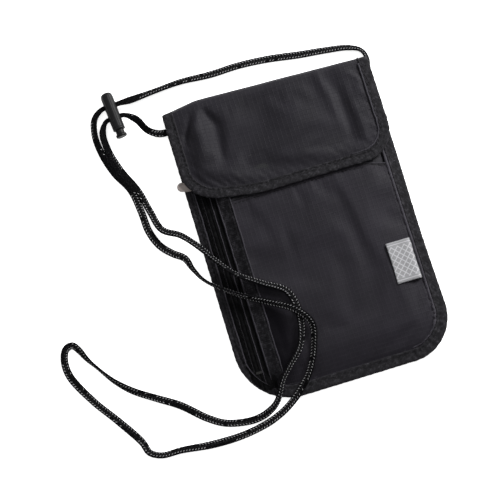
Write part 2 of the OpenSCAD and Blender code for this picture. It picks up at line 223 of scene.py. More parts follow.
class Nodes:
    """Short calls that add and join shader nodes."""

    def __init__(self, name, colour, roughness, sheen=0.0, specular=0.5, metallic=0.0):
        self.material = bpy.data.materials.new(name)
        self.material.use_nodes = True
        self.tree = self.material.node_tree
        self.shader = self.tree.nodes["Principled BSDF"]
        self.set("Base Color", (*colour, 1))
        self.set("Roughness", roughness)
        self.set("Metallic", metallic)
        self.set("Specular IOR Level", specular)
        self.set("Sheen Weight", sheen)
        self.set("Sheen Roughness", 0.4)

    def set(self, socket, value):
        self.shader.inputs[socket].default_value = value

    def put(self, target, value):
        if isinstance(value, bpy.types.NodeSocket):
            self.tree.links.new(value, target)
        else:
            target.default_value = value

    def math(self, operation, a, b=0.0, c=0.0):
        n = self.tree.nodes.new("ShaderNodeMath")
        n.operation = operation
        for target, value in zip(n.inputs, (a, b, c)):
            self.put(target, value)
        return n.outputs[0]

    def place(self, kind="UV"):
        """U and V in millimetres, or the object's own coordinates."""
        at = self.tree.nodes.new("ShaderNodeTexCoord")
        split = self.tree.nodes.new("ShaderNodeSeparateXYZ")
        self.tree.links.new(at.outputs[kind], split.inputs[0])
        return [self.math("MULTIPLY", out, 1000.0) for out in split.outputs]

    def vector(self, x, y, z=0.0):
        n = self.tree.nodes.new("ShaderNodeCombineXYZ")
        for target, value in zip(n.inputs, (x, y, z)):
            self.put(target, value)
        return n.outputs[0]

    def noise(self, vector, scale, detail=2.0, roughness=0.5):
        n = self.tree.nodes.new("ShaderNodeTexNoise")
        self.put(n.inputs["Vector"], vector)
        n.inputs["Scale"].default_value = scale
        n.inputs["Detail"].default_value = detail
        n.inputs["Roughness"].default_value = roughness
        return n.outputs["Fac"]

    def wave(self, x, pitch, phase=0.0):
        """0 to 1 and back once each pitch."""
        turned = self.math("MULTIPLY_ADD", x, 2 * math.pi / pitch, phase)
        return self.math("MULTIPLY_ADD", self.math("SINE", turned), 0.5, 0.5)

    def ramp(self, value, low, high):
        n = self.tree.nodes.new("ShaderNodeMapRange")
        n.interpolation_type = "SMOOTHSTEP"
        self.put(n.inputs["Value"], value)
        n.inputs["From Min"].default_value = low
        n.inputs["From Max"].default_value = high
        return n.outputs[0]

    def mix(self, share, a, b):
        n = self.tree.nodes.new("ShaderNodeMix")
        n.data_type = "RGBA"
        self.put(n.inputs[0], share)
        for target, value in zip(n.inputs[6:8], (a, b)):
            if isinstance(value, bpy.types.NodeSocket):
                self.tree.links.new(value, target)
            else:
                target.default_value = (*value, 1)
        return n.outputs[2]

    def colour(self, socket):
        self.tree.links.new(socket, self.shader.inputs["Base Color"])

    def roughness(self, socket):
        self.tree.links.new(socket, self.shader.inputs["Roughness"])

    def height(self, socket, depth):
        n = self.tree.nodes.new("ShaderNodeBump")
        n.inputs["Strength"].default_value = 1.0
        n.inputs["Distance"].default_value = depth * MM
        self.tree.links.new(socket, n.inputs["Height"])
        self.tree.links.new(n.outputs[0], self.shader.inputs["Normal"])


def plain_weave(n, u, v, pitch):
    """Over-and-under threads of a plain weave, 0 to 1."""
    across = n.wave(u, pitch)
    along = n.wave(v, pitch)
    checks = n.math("MULTIPLY", n.math("SUBTRACT", across, 0.5), n.math("SUBTRACT", along, 0.5))
    return n.math("MULTIPLY_ADD", checks, 2.0, 0.5)


RIPSTOP_PITCH = 2.9


def ripstop_material(name, colour, line_colour, painted_shade=None):
    """Thin nylon with a grid of thicker threads; painted_shade paints shade into an ellipse: (middle, half
    sizes).
    """
    n = Nodes(name, colour, 0.5, sheen=0.03, specular=0.12)
    u, v, _ = n.place()
    at = n.vector(u, v)
    lines = n.math("MAXIMUM", *(n.ramp(n.wave(w, RIPSTOP_PITCH), 0.90, 1.0) for w in (u, v)))
    weave = plain_weave(n, u, v, 0.42)
    cloud = n.noise(at, 0.035, 4.0, 0.6)
    patch = n.noise(at, 0.16, 3.0, 0.6)
    fibre = n.noise(at, 1.6, 3.0, 0.7)
    seen = n.math("MULTIPLY", lines, n.ramp(patch, 0.3, 0.7))
    tone = n.mix(n.ramp(cloud, 0.3, 0.7), colour, tuple(1.35 * c for c in colour))
    speck = n.mix(n.ramp(fibre, 0.64, 0.8), tone, line_colour)
    cloth = n.mix(n.math("MULTIPLY", seen, 0.16), speck, line_colour)
    if painted_shade:
        (x, y), (half_w, half_l) = painted_shade
        dx = n.math("DIVIDE", n.math("SUBTRACT", u, x), half_w)
        dy = n.math("DIVIDE", n.math("SUBTRACT", v, y), half_l)
        away = n.math("SQRT", n.math("ADD", n.math("MULTIPLY", dx, dx), n.math("MULTIPLY", dy, dy)))
        # Painted shade: towards the ellipse's middle the colour darkens and specular and sheen drop; depth
        # here is the share of painted shade.
        depth = n.ramp(away, 1.20, 0.25)
        cloth = n.mix(n.math("MULTIPLY", depth, 0.75), cloth, (0.0010, 0.0009, 0.0012))
        n.put(n.shader.inputs["Specular IOR Level"], n.math("MULTIPLY_ADD", depth, -0.10, 0.12))
        n.put(n.shader.inputs["Sheen Weight"], n.math("MULTIPLY_ADD", depth, -0.027, 0.03))
    n.colour(cloth)
    n.roughness(n.math("MULTIPLY_ADD", cloud, 0.22, 0.46))
    n.height(n.math("ADD", lines, n.math("MULTIPLY", weave, 0.3)), 0.09)
    return n.material


def tape_material(name, colour, rib=0.9, light=(0.034, 0.033, 0.036), specular=0.08):
    """Ribbed woven tape: fine ribs across, fine threads along, and worn high threads."""
    n = Nodes(name, colour, 0.62, sheen=0.015, specular=specular)
    u, v, _ = n.place()
    at = n.vector(u, v)
    ribs = n.wave(v, rib)
    warp = n.wave(u, 0.55)
    grain = n.noise(at, 1.1, 3.0, 0.65)
    wear = n.noise(at, 0.30, 4.0, 0.65)
    high = n.math("MULTIPLY", n.math("MULTIPLY_ADD", ribs, 0.45, 0.55), n.ramp(grain, 0.30, 0.7))
    n.colour(n.mix(n.math("MULTIPLY", high, n.ramp(wear, 0.42, 0.72)), colour, light))
    n.roughness(n.math("MULTIPLY_ADD", grain, 0.25, 0.50))
    crush = n.noise(at, 0.45, 3.0, 0.6)
    n.height(n.math("ADD", n.math("MULTIPLY_ADD", ribs, 0.35, n.math("MULTIPLY", warp, 0.2)),
                    n.math("MULTIPLY", crush, 1.6)), 0.30)
    return n.material


def lining_material():
    n = Nodes("plain_lining", (0.010, 0.0095, 0.0115), 0.6, sheen=0.03, specular=0.14)
    u, v, _ = n.place()
    weave = plain_weave(n, u, v, 0.5)
    cloud = n.noise(n.vector(u, v), 0.05, 3.0)
    n.colour(n.mix(cloud, (0.0075, 0.0070, 0.0090), (0.012, 0.0115, 0.0145)))
    n.height(weave, 0.08)
    return n.material


def braid_material():
    """Flat lace: two sets of strands that meet in Vs down the middle, with pale flecks."""
    n = Nodes("flat_braid", (0.003, 0.003, 0.003), 0.75, sheen=0.0, specular=0.02)
    u, v, _ = n.place()
    away = n.math("ABSOLUTE", n.math("SUBTRACT", n.math("PINGPONG", v, 2.4), 1.2))
    slant = n.math("ADD", u, n.math("MULTIPLY", away, 1.3))
    strand = n.wave(slant, 1.5)
    other = n.wave(n.math("SUBTRACT", u, n.math("MULTIPLY", away, 1.3)), 1.5, 1.6)
    height = n.math("MAXIMUM", strand, other)
    fleck = n.noise(n.vector(n.math("MULTIPLY", u, 0.8), n.math("MULTIPLY", v, 1.5)), 1.1, 2.0, 0.7)
    pale = n.math("MULTIPLY", n.ramp(fleck, 0.56, 0.68), n.ramp(height, 0.5, 0.95))
    # Painted shade: the grooves between strands are coloured darker than their crests.
    shaded_grooves = n.mix(height, (0.0006, 0.0006, 0.0007), (0.0032, 0.0032, 0.0037))
    n.colour(n.mix(n.math("MULTIPLY", pale, 0.25), shaded_grooves, (0.10, 0.10, 0.105)))
    n.height(height, 0.22)
    return n.material


def plastic_material(name, colour, roughness):
    n = Nodes(name, colour, roughness, specular=0.14)
    x, y, z = n.place("Object")
    at = n.vector(x, y, z)
    grain = n.noise(at, 2.5, 3.0, 0.6)
    scuff = n.noise(at, 0.25, 4.0, 0.7)
    n.colour(n.mix(n.ramp(scuff, 0.5, 0.8), colour, tuple(1.5 * c + 0.004 for c in colour)))
    n.roughness(n.math("MULTIPLY_ADD", scuff, 0.25, roughness - 0.1))
    n.height(grain, 0.03)
    return n.material


def metal_material(name, colour, roughness, metallic):
    n = Nodes(name, colour, roughness, metallic=metallic, specular=0.22)
    x, y, z = n.place("Object")
    brushed = n.noise(n.vector(n.math("MULTIPLY", x, 0.15), n.math("MULTIPLY", y, 3.0), z), 1.2, 3.0)
    wear = n.noise(n.vector(x, y, z), 0.35, 4.0, 0.7)
    n.colour(n.mix(n.ramp(wear, 0.5, 0.75), colour, tuple(min(1.0, 1.35 * c) for c in colour)))
    n.roughness(n.math("MULTIPLY_ADD", brushed, 0.25, roughness - 0.12))
    n.height(brushed, 0.02)
    return n.material


def pile_material(name, colour):
    n = Nodes(name, colour, 0.85, sheen=0.15, specular=0.2)
    u, v, _ = n.place()
    curl = n.noise(n.vector(u, v), 1.4, 4.0, 0.7)
    n.colour(n.mix(curl, tuple(0.5 * c for c in colour), tuple(1.9 * c for c in colour)))
    n.height(curl, 0.3)
    return n.material


def label_material():
    """Woven label: grey ground with a plain pattern of lozenges between two borders."""
    n = Nodes("woven_label_cloth", (0.2, 0.2, 0.205), 0.6, sheen=0.3)
    u, v, _ = n.place()
    weave = plain_weave(n, u, v, 0.36)
    lozenge = n.math("ADD", n.math("PINGPONG", u, 2.2), n.math("PINGPONG", v, 2.2))
    ring = n.math("SUBTRACT", 1.0, n.ramp(n.math("ABSOLUTE", n.math("SUBTRACT", lozenge, 2.2)), 0.25, 0.6))
    inside = n.ramp(n.math("ABSOLUTE", n.math("SUBTRACT", v, LABEL_Y)), 10.6, 10.2)
    border = n.math("SUBTRACT", 1.0, n.ramp(n.math("ABSOLUTE", n.math(
        "SUBTRACT", n.math("ABSOLUTE", n.math("SUBTRACT", v, LABEL_Y)), 11.6)), 0.15, 0.35))
    drawn = n.math("MAXIMUM", n.math("MULTIPLY", ring, inside), border)
    ground = n.mix(weave, (0.135, 0.135, 0.142), (0.225, 0.225, 0.235))
    n.colour(n.mix(n.math("MULTIPLY", drawn, 0.6), ground, (0.44, 0.44, 0.455)))
    n.height(weave, 0.09)
    return n.material


SHELL = ripstop_material("ripstop_nylon", (0.0084, 0.0074, 0.0104), (0.0185, 0.0170, 0.0225))
# The front's nylon carries painted shade in an ellipse beside the zip, where the lace's shadow and the dip in
# the panel fall.
FRONT_SHELL = ripstop_material("front_ripstop_painted_shade", (0.0084, 0.0074, 0.0104), (0.0185, 0.0170, 0.0225),
                               painted_shade=((-41.0, -58.0), (14.0, 40.0)))
# The rolled edges and ridges use the shell's nylon drawn lighter: a painted highlight where they catch the
# light.
LIT_ROLL_NYLON = ripstop_material("rolled_edge_nylon_painted_highlight", (0.022, 0.0205, 0.0255), (0.040, 0.037, 0.045))
# The flap's nylon is the shell's drawn about a fifth darker: painted shade, as the flap faces a little away
# from the light.
SHADED_FLAP_SHELL = ripstop_material("flap_ripstop_painted_shade", (0.0068, 0.0061, 0.0086), (0.0165, 0.0150, 0.0200))
LINING = lining_material()
TAPE = tape_material("binding_tape", (0.0078, 0.0074, 0.0088), light=(0.050, 0.048, 0.055))
FACING = tape_material("facing_cloth", (0.0045, 0.0042, 0.0054), rib=1.3, light=(0.050, 0.048, 0.055))
ZIP_CLOTH = tape_material("zip_tape_cloth", (0.0012, 0.0012, 0.0014), rib=0.7,
                          light=(0.0100, 0.0100, 0.0110), specular=0.03)
THREAD = tape_material("thread", (0.0030, 0.0029, 0.0034), rib=0.5, light=(0.014, 0.013, 0.015))
MID_THREAD = tape_material("mid_thread", (0.016, 0.016, 0.017), rib=0.5, light=(0.045, 0.045, 0.048))
PALE_THREAD = tape_material("pale_thread", (0.27, 0.27, 0.275), rib=0.5, light=(0.52, 0.52, 0.53))
BRAID = braid_material()
LOCK_PLASTIC = plastic_material("lock_moulding", (0.0045, 0.0047, 0.0052), 0.48)
BUTTON_PLASTIC = plastic_material("button_moulding", (0.0028, 0.0028, 0.0032), 0.45)
# The coil is coloured about ten times lighter than its tape: a painted highlight along the coil's turns.
LIT_COIL_NYLON = plastic_material("coil_nylon_painted_highlight", (0.012, 0.012, 0.014), 0.30)
ZIP_METAL = metal_material("zip_lacquer", (0.009, 0.0088, 0.0085), 0.50, 0.15)
PULL_METAL = metal_material("pull_lacquer", (0.20, 0.175, 0.165), 0.45, 0.35)
SPRING_METAL = metal_material("spring_wire", (0.6, 0.6, 0.62), 0.3, 1.0)
PILE = pile_material("pile", (0.010, 0.010, 0.011))
FILM = metal_material("metallised_film", (0.42, 0.43, 0.45), 0.35, 0.8)
LABEL_CLOTH = label_material()


# ---- camera, light and floor ----

# The camera's and the lights' places are in metres.
CAMERA_AT = (-0.0929, -0.1123, 0.8962)
CAMERA_TARGET = (-0.0404, -0.0005, 0.0)
CAMERA_UP = (0.2867, 0.9484, 0.1352)
LENS = 100.8
FLOOR_Z = -0.06
FLOOR_GLOW = 0.75                       # makes the floor a pure white backdrop
WORLD_LIGHT = 0.36


def add_camera():
    data = bpy.data.cameras.new("camera")
    data.lens = LENS
    data.sensor_width = 36.0
    data.clip_start = 0.05
    back = (Vector(CAMERA_AT) - Vector(CAMERA_TARGET)).normalized()
    right = Vector(CAMERA_UP).cross(back).normalized()
    up = back.cross(right)
    obj = link(bpy.data.objects.new("camera", data))
    turn = Matrix((right, up, back)).transposed().to_4x4()
    obj.matrix_world = Matrix.Translation(CAMERA_AT) @ turn
    bpy.context.scene.camera = obj


def add_light(name, at, target, size, power):
    data = bpy.data.lights.new(name, "AREA")
    data.size = size
    data.energy = power
    obj = link(bpy.data.objects.new(name, data))
    obj.location = at
    obj.rotation_mode = "QUATERNION"
    obj.rotation_quaternion = (Vector(target) - Vector(at)).to_track_quat("-Z", "Y")


def add_stage():
    corners = [(x * 4000, y * 4000, FLOOR_Z) for x, y in ((-1, -1), (1, -1), (1, 1), (-1, 1))]
    floor = mesh_object("floor", corners, [(0, 1, 2, 3)])
    n = Nodes("floor_paper", (0.93, 0.93, 0.93), 0.9, specular=0.1)
    n.shader.inputs["Emission Color"].default_value = (1, 1, 1, 1)
    n.shader.inputs["Emission Strength"].default_value = FLOOR_GLOW
    floor.data.materials.append(n.material)
    centre = (-0.04, 0.0, 0.0)
    add_light("key", (0.72, 0.50, 0.52), centre, 0.40, 21.0)
    add_light("fill", (-0.5, 0.3, 1.2), centre, 1.2, 5.0)
    world = bpy.data.worlds.new("studio")
    bpy.context.scene.world = world
    world.use_nodes = True
    world.node_tree.nodes["Background"].inputs[0].default_value = (1, 1, 1, 1)
    world.node_tree.nodes["Background"].inputs[1].default_value = WORLD_LIGHT
    bpy.context.scene.view_settings.view_transform = "Standard"


add_camera()
add_stage()


# ---- neck lace ----

LACE_W, LACE_T, LACE_GRIP_W = 4.8, 1.6, 3.2     # the lock squeezes it to the last width
LOCK_AT = (-99.7, 109.3, 4.2)
LOCK_TURN = 4.6
# The route of the CAD lace: X, Y, height of its underside, roll in degrees.
LACE_ROUTE = [
    [64.5, 85, 2.45, 0], [68, 92.5, 2.6, 20], [70, 99.5, 1.4, 40], [68, 105.5, 0, 40],
    [60, 109.5, 0, 25], [46, 112, 0, 10], [28, 114.2, 0, 0], [8, 117.2, 0, 0],
    [-12, 118.6, 0, 0], [-32, 118, 0, 10], [-52, 118.8, 0.2, 25], [-72, 117.2, 1, 35],
    [-86, 116, 2.6, 15], [-94.2, 115.9, 3.4, 0], [-100.2, 115.4, 3.4, 0],
    [-106.2, 114.9, 3.4, 0], [-112.2, 110.6, 1.8, 25], [-115.2, 101, 0.4, 30],
    [-114.4, 88, 0, 20], [-110, 73, 0, 10], [-103, 59, 0, 10], [-100.5, 43, 0, 0],
    [-99.5, 30, 0.4, 0], [-95.5, 19, 1.2, 0], [-89, 11.3, 2.8, 5], [-82.2, 5.4, 5.2, 20],
    [-79.3, -3, 6.2, 55], [-74, -12.5, 6.3, 75], [-57, -26.5, 6.6, 70], [-40, -36.5, 7.1, 45],
    [-25, -46, 8.9, 35], [-17, -57.5, 7.6, 40], [-19.5, -71, 6.9, 40],
    [-26.5, -85.5, 6.2, 30], [-36, -96, 3.2, 22], [-47, -104, 0.6, 20], [-58.2, -108.9, 0, 10],
    [-68, -111.3, 0, 0], [-82, -112.9, 0, 0], [-100, -112.6, 0, 10],
    [-119, -110.4, 0, 30], [-132, -109.8, 0, 35], [-138.8, -105.9, 0, 30], [-141.4, -98.5, 0, 20],
    [-152.5, -81, 0, 0], [-164, -64.5, 0, 0],
    [-174, -44.5, 0, 0], [-174.2, -33.5, 0, 0], [-171.2, -27.6, 0, 0], [-167, -26.8, 0, 10],
    [-163.6, -31, 0, 25], [-160.5, -37.5, 0, 50], [-156, -44.5, 0, 75],
    [-147.5, -56.5, 0, 60], [-138, -65.7, 0, 35], [-125, -74.5, 0, 15],
    [-112, -83, 0, 0], [-97.5, -96, 0, 0], [-88, -102, 0, 0],
    [-77, -104.9, 0, 0], [-68, -105.4, 0.2, 5], [-60, -103.6, 1.2, 20], [-52.6, -98.9, 3.6, 45],
    [-45, -86.5, 6.9, 60], [-38, -79.2, 6.95, 60],
    [-29.5, -71.2, 6.95, 45], [-25, -62, 6.95, 30], [-22.5, -48, 6.95, 0], [-26, -33.5, 6.95, 15],
    [-40, -24, 7.05, 40], [-54, -14, 6.7, 60], [-63, -3, 6.4, 60], [-71, 9, 6.3, 40],
    [-80.5, 20.5, 4.6, 30], [-91, 28, 2.2, 20], [-95, 42, 0.4, 10], [-98.5, 57, 0, 10],
    [-106, 74, 0, 10], [-110, 90, 0.6, 20], [-109.8, 100, 2.2, 25], [-105.5, 106.5, 3.4, 0],
    [-99.5, 107, 3.4, 0], [-93.5, 107.5, 3.4, 0], [-86.6, 102.6, 2.4, 20],
    [-81.5, 93.5, 2.4, 30], [-75, 89, 2.5, 20], [-65, 88.5, 2.45, 0]]


def lace_width(x, y):
    away = np.hypot(x - LOCK_AT[0], y - LOCK_AT[1])
    return np.minimum(LACE_W, LACE_GRIP_W + 0.3 * np.maximum(0, away - 8.5))


def smooth_route(points, step):
    """Centripetal Catmull-Rom curve through the points, sampled about every step."""
    p = np.vstack([2 * points[0] - points[1], points, 2 * points[-1] - points[-2]])
    out = []
    for i in range(1, len(p) - 2):
        a, b, c, d = p[i - 1:i + 3]
        knots = np.cumsum([0] + [np.linalg.norm((q - r)[:3]) ** 0.5 for q, r in ((b, a), (c, b), (d, c))])
        count = max(2, int(np.linalg.norm((c - b)[:3]) / step))
        for t in np.linspace(knots[1], knots[2], count, endpoint=False):
            def between(u, v, s, e):
                return u * (e - t) / (e - s) + v * (t - s) / (e - s)
            ab, bc, cd = (between(p[i - 1 + k], p[i + k], knots[k], knots[k + 1]) for k in range(3))
            abc, bcd = between(ab, bc, knots[0], knots[2]), between(bc, cd, knots[1], knots[3])
            out.append(between(abc, bcd, knots[1], knots[2]))
    out.append(points[-1])
    return np.array(out)


def flecks(name, line, normal, lean, along, clear, shift, material):
    """Pale strands of the braid where they come to the surface: one small lozenge each."""
    pitch, length, width = 1.9, 1.75, 0.62
    verts, faces, uv = [], [], []
    for k in range(int((along[-1] - 12) / pitch)):
        s = 6 + k * pitch + shift + 0.25 * noise.noise(Vector((k * 0.37, shift, 1.0)))
        i = int(np.searchsorted(along, s))
        if i < 1 or i > len(along) - 2 or not clear[i]:
            continue
        t = (s - along[i - 1]) / (along[i] - along[i - 1])
        middle = line[i - 1] + (line[i] - line[i - 1]) * t
        run = line[i] - line[i - 1]
        run = run / np.linalg.norm(run) + lean[i]
        run /= np.linalg.norm(run)
        n = normal[i]
        worn = noise.noise(Vector((s * 0.045, shift * 3.0, 7.0)))
        worn += 0.6 * noise.noise(Vector((s * 0.9, shift, 3.0)))
        # Fewer flecks near the lock and on the strands beyond the pouch's left side.
        fleck_thinning = 0.60 * smooth(-75, -84, middle[0]) * smooth(52, 66, middle[1])
        fleck_thinning += 0.14 * smooth(-70, -90, middle[0])
        if middle[2] < 0.4 or worn < fleck_thinning - 0.34:
            continue
        side = np.cross(n, run)
        first = len(verts)
        verts += [middle - run * length / 2, middle + side * width / 2, middle + run * length / 2,
                  middle - side * width / 2, middle + n * 0.20, middle - n * 0.15]
        uv += [(0, s), (width, s), (0, s + length), (-width, s), (0, s), (0, s)]
        faces += [tuple(first + q for q in f) for f in
                  ((0, 3, 4), (3, 2, 4), (2, 1, 4), (1, 0, 4), (3, 0, 5), (2, 3, 5), (1, 2, 5), (0, 1, 5))]
    finish_piece(mesh_object(name, verts, faces, uv), material, "pouch")


def add_lace():
    route = np.array(LACE_ROUTE, float)
    width = lace_width(route[:, 0], route[:, 1])
    roll = np.radians(route[:, 3])
    centre_z = route[:, 2] + LACE_T / 2 * np.cos(roll) + width / 2 * np.abs(np.sin(roll))
    line = smooth_route(np.column_stack([route[:, :2], centre_z, roll]), 0.9)
    at, roll = line[:, :3], line[:, 3]
    lowest = LACE_T / 2 * np.cos(roll) + LACE_W / 2 * np.abs(np.sin(roll)) * 0.95
    at[:, 2] = np.maximum(at[:, 2], lowest + 0.05)
    along = lengths(at)
    roll = roll + 0.12 * np.sin(along / 17.0) * np.clip(line[:, 2] / 4 + 0.3, 0, 1)
    half = lace_width(at[:, 0], at[:, 1]) / 2
    half = half * (1 + 0.025 * np.sin(2 * np.pi * along / 1.5) + 0.03 * np.sin(along / 9.0))
    ahead = unit(np.gradient(at, axis=0))
    side = unit(np.cross(UP, ahead))
    up = np.cross(ahead, side)
    across = side * np.cos(roll)[:, None] + up * np.sin(roll)[:, None]
    through = np.cross(ahead, across)
    turn = np.linspace(0, 2 * np.pi, 16, endpoint=False)
    flat_x = np.sign(np.cos(turn)) * np.abs(np.cos(turn)) ** 0.7
    flat_y = np.sign(np.sin(turn)) * np.abs(np.sin(turn)) ** 0.55
    crown = 0.86 + 0.14 * np.abs(np.sin(np.pi * flat_x))
    points = (at[:, None] + across[:, None] * (half[:, None] * flat_x)[..., None]
              + through[:, None] * (LACE_T / 2 * flat_y * crown)[None, :, None])
    girth = (1 - flat_x) * LACE_W / 2
    lace = grid_object("neck_lace", points, grid_of(along[:, None], girth), closed=True)
    clear = np.hypot(at[:, 0] - LOCK_AT[0], at[:, 1] - LOCK_AT[1]) > 7.0
    for k, (share, face) in enumerate(((-0.56, 1), (0.56, 1), (-0.56, -1), (0.56, -1), (0.0, 1), (0.0, -1))):
        middle = at + across * (half * share)[:, None] + through * (face * (LACE_T / 2 - 0.06))
        lean = across * (0.85 if k % 2 else -0.85) * (share != 0)
        flecks(f"lace_fleck_{k}", middle, through * face, lean, along, clear, 1.0 * (k % 2),
               PALE_THREAD if share else MID_THREAD)
    finish_piece(lace, BRAID, "pouch", ["neck_cord"])


# ---- outlines of the pouch and the flap ----

def edge_x(y, inset, side, low, radius):
    """X of the left (side -1) or right (side 1) edge at y, taken in by inset."""
    edge = X_LEFT if side < 0 else X_RIGHT
    drop = np.clip(low + radius - np.asarray(y, float), 0, radius - inset)
    return edge - side * (radius - np.sqrt((radius - inset) ** 2 - drop ** 2))


def edge_distance(x, y, low, r_left, r_right):
    """How far a point lies inside an outline that is open at its top."""
    x, y = np.broadcast_arrays(np.asarray(x, float), np.asarray(y, float))
    d = np.minimum(np.minimum(x - X_LEFT, X_RIGHT - x), y - low)
    for side, radius, edge in ((-1, r_left, X_LEFT), (1, r_right, X_RIGHT)):
        cx, cy = edge - side * radius, low + radius
        inside = (y < cy) & (side * (x - cx) > 0)
        d = np.where(inside, radius - np.hypot(x - cx, y - cy), d)
    return d


def edge_path(left_top, right_top, low, r_left, r_right, step):
    """Points, inward directions and distances, down the left side, along the base and up the right."""
    down, rise = left_top - (low + r_left), right_top - (low + r_right)
    bend_l, bend_r = math.pi / 2 * r_left, math.pi / 2 * r_right
    base = (X_RIGHT - r_right) - (X_LEFT + r_left)
    total = down + bend_l + base + bend_r + rise
    s = np.linspace(0, total, int(total / step))
    rows = []
    for d in s:
        if d < down:
            rows.append((X_LEFT, left_top - d, 1, 0))
        elif d < down + bend_l:
            c, v = math.cos((d - down) / r_left), math.sin((d - down) / r_left)
            rows.append((X_LEFT + r_left * (1 - c), low + r_left * (1 - v), c, v))
        elif d < down + bend_l + base:
            rows.append((X_LEFT + r_left + d - down - bend_l, low, 0, 1))
        elif d < total - rise:
            a = (total - rise - d) / r_right
            c, v = math.cos(a), math.sin(a)
            rows.append((X_RIGHT - r_right * (1 - c), low + r_right * (1 - v), -c, v))
        else:
            rows.append((X_RIGHT, right_top - (total - d), -1, 0))
    rows = np.array(rows)
    return rows[:, :2], rows[:, 2:], s


def side_x(y, inset, side):
    return edge_x(y, inset, side, Y_BOTTOM, R_LEFT if side < 0 else R_RIGHT)


def seam_distance(x, y):
    return edge_distance(x, y, Y_BOTTOM, R_LEFT, R_RIGHT)


def seam_path(left_top, right_top, step):
    return edge_path(left_top, right_top, Y_BOTTOM, R_LEFT, R_RIGHT, step)


# ---- the front's surface ----

def front_height(x, y):
    """Top of the front panel and of the facing beside the zip."""
    x, y = np.broadcast_arrays(np.asarray(x, float), np.asarray(y, float))
    d = seam_distance(x, y)
    beside_zip = smooth(ZIP_X + 3.0, PANEL_X + 3.0, x)
    right = smooth(-45, 35, x)
    rise = smooth(7.8, 9.6, d) * (0.08 + 0.26 * right)
    from_seam = rise + (1 - 0.08 - 0.26 * right) * smooth(7.0, 26.0, d)
    level = np.where(x < PANEL_X + 6, np.minimum(from_seam, 0.35 + 0.65 * beside_zip), from_seam)
    base = 2.3 + (FRONT_TOP - 2.6) * level
    soft = smooth(8.5, 22.0, d) * smooth(PANEL_X - 4, PANEL_X + 14, x)
    drape = 0.26 * rough(x, y, 34.0, 3.1) + 0.16 * rough(x, y, 13.0, 7.7)
    folds = 0.30 * bump(x + 0.22 * y, 33.0, 3.5) + 0.20 * bump(x - 0.12 * y, 6.0, 5.0)
    folds -= 0.30 * bump(x + 0.05 * y, 46.0, 4.5) + 1.1 * bump(x, -38.0, 9.0) * bump(y, -66.0, 24.0)
    corner_work = 1 + 1.1 * bump(x, X_RIGHT - 16, 18) * bump(y, Y_BOTTOM + 18, 20)
    pucker = 0.26 * corner_work * np.exp(-np.maximum(d - BINDING, 0) / 4.0) \
        * np.sin(1.05 * (x - 0.9 * y) + 2.0 * rough(x, y, 15.0, 1.7))
    return base + soft * (drape + folds - 0.30) \
        + smooth(8, 10, d) * pucker * smooth(PANEL_X - 2, PANEL_X + 4, x)


def pocket_edge(x):
    """The pocket's top edge drops towards its right end."""
    return POCKET_TOP + 2.4 - 5.6 * smooth(32.0, X_RIGHT - 6.0, x) ** 1.3


SETTLE_FRAMES = 25


def settle_cloth(points, pinned, grow, stiffness, seed):
    """Cloth simulation of a grid held where pinned, a little too big for its frame, so that it wrinkles."""
    big = 10.0                                  # the solver works best near a metre
    start = points.copy()
    start[..., 2] += 0.25 * (1 - pinned) * rough(points[..., 0], points[..., 1], 9.0, seed)
    obj = grid_object("cloth_run", start * big)
    group = obj.vertex_groups.new(name="pin")
    for i, w in enumerate(pinned.ravel()):
        if w > 0.01:
            group.add([i], float(min(w, 1)), "REPLACE")
    cloth = obj.modifiers.new("cloth", "CLOTH")
    settings = cloth.settings
    settings.quality = 6
    settings.mass = 0.25
    settings.tension_stiffness = settings.compression_stiffness = 18
    settings.shear_stiffness = 8
    settings.bending_stiffness = stiffness
    settings.air_damping = 4
    settings.shrink_min = -grow
    settings.vertex_group_mass = "pin"
    settings.effector_weights.gravity = 0
    cloth.collision_settings.use_collision = False
    scene = bpy.context.scene
    for f in range(1, SETTLE_FRAMES + 1):
        scene.frame_set(f)
    seen = obj.evaluated_get(bpy.context.evaluated_depsgraph_get())
    moved = np.array([v.co for v in seen.data.vertices]).reshape(points.shape) / MM / big
    scene.frame_set(1)
    bpy.data.objects.remove(obj)
    return moved


def sheet_rows(low, high, bend_top, fine=2.0, coarse=3.5):
    """Rows along Y, closer together where a corner turns."""
    lower = np.arange(low, bend_top, fine)
    upper = np.linspace(bend_top, high, max(2, int((high - bend_top) / coarse)))
    return np.concatenate([lower, upper])


def panel_grid(inset_left, inset_right, inset_bottom, top_y, left_x=None, columns=90):
    """Grid of X and Y over the pouch's outline, one row for each Y."""
    y = sheet_rows(Y_BOTTOM + inset_bottom, top_y, Y_BOTTOM + R_LEFT)
    start = side_x(y, inset_left, -1) if left_x is None else np.maximum(left_x, side_x(y, inset_left, -1))
    end = side_x(y, inset_right, 1)
    t = np.linspace(0, 1, columns)
    x = start[:, None] + (end - start)[:, None] * t[None, :]
    return x, np.repeat(y[:, None], columns, axis=1)


def add_lining():
    x, y = panel_grid(1.0, 1.0, 1.0, LINING_TOP_Y)
    d = seam_distance(x, y)
    left = smooth(ZIP_X + 8.0, ZIP_X + 17.0, x)
    z = 1.5 + (LINING_TOP - 1.5) * np.minimum(smooth(7.0, 17.0, d), left)
    z = z + 0.12 * rough(x, y, 16.0, 9.2) * smooth(12, 24, d) - 0.1
    under = smooth(POCKET_TOP + 3.0, POCKET_TOP - 8.0, y)
    z = np.minimum(z, (front_height(x, y) - 1.9) * under + 9.0 * (1 - under))
    z = np.maximum(z, 1.35)
    lining = crisp(thicken(grid_object("lining_sheet", grid_of(x, y, z)), POCKET_LINING))
    finish_piece(lining, LINING, "pouch", ["divider_panel"])


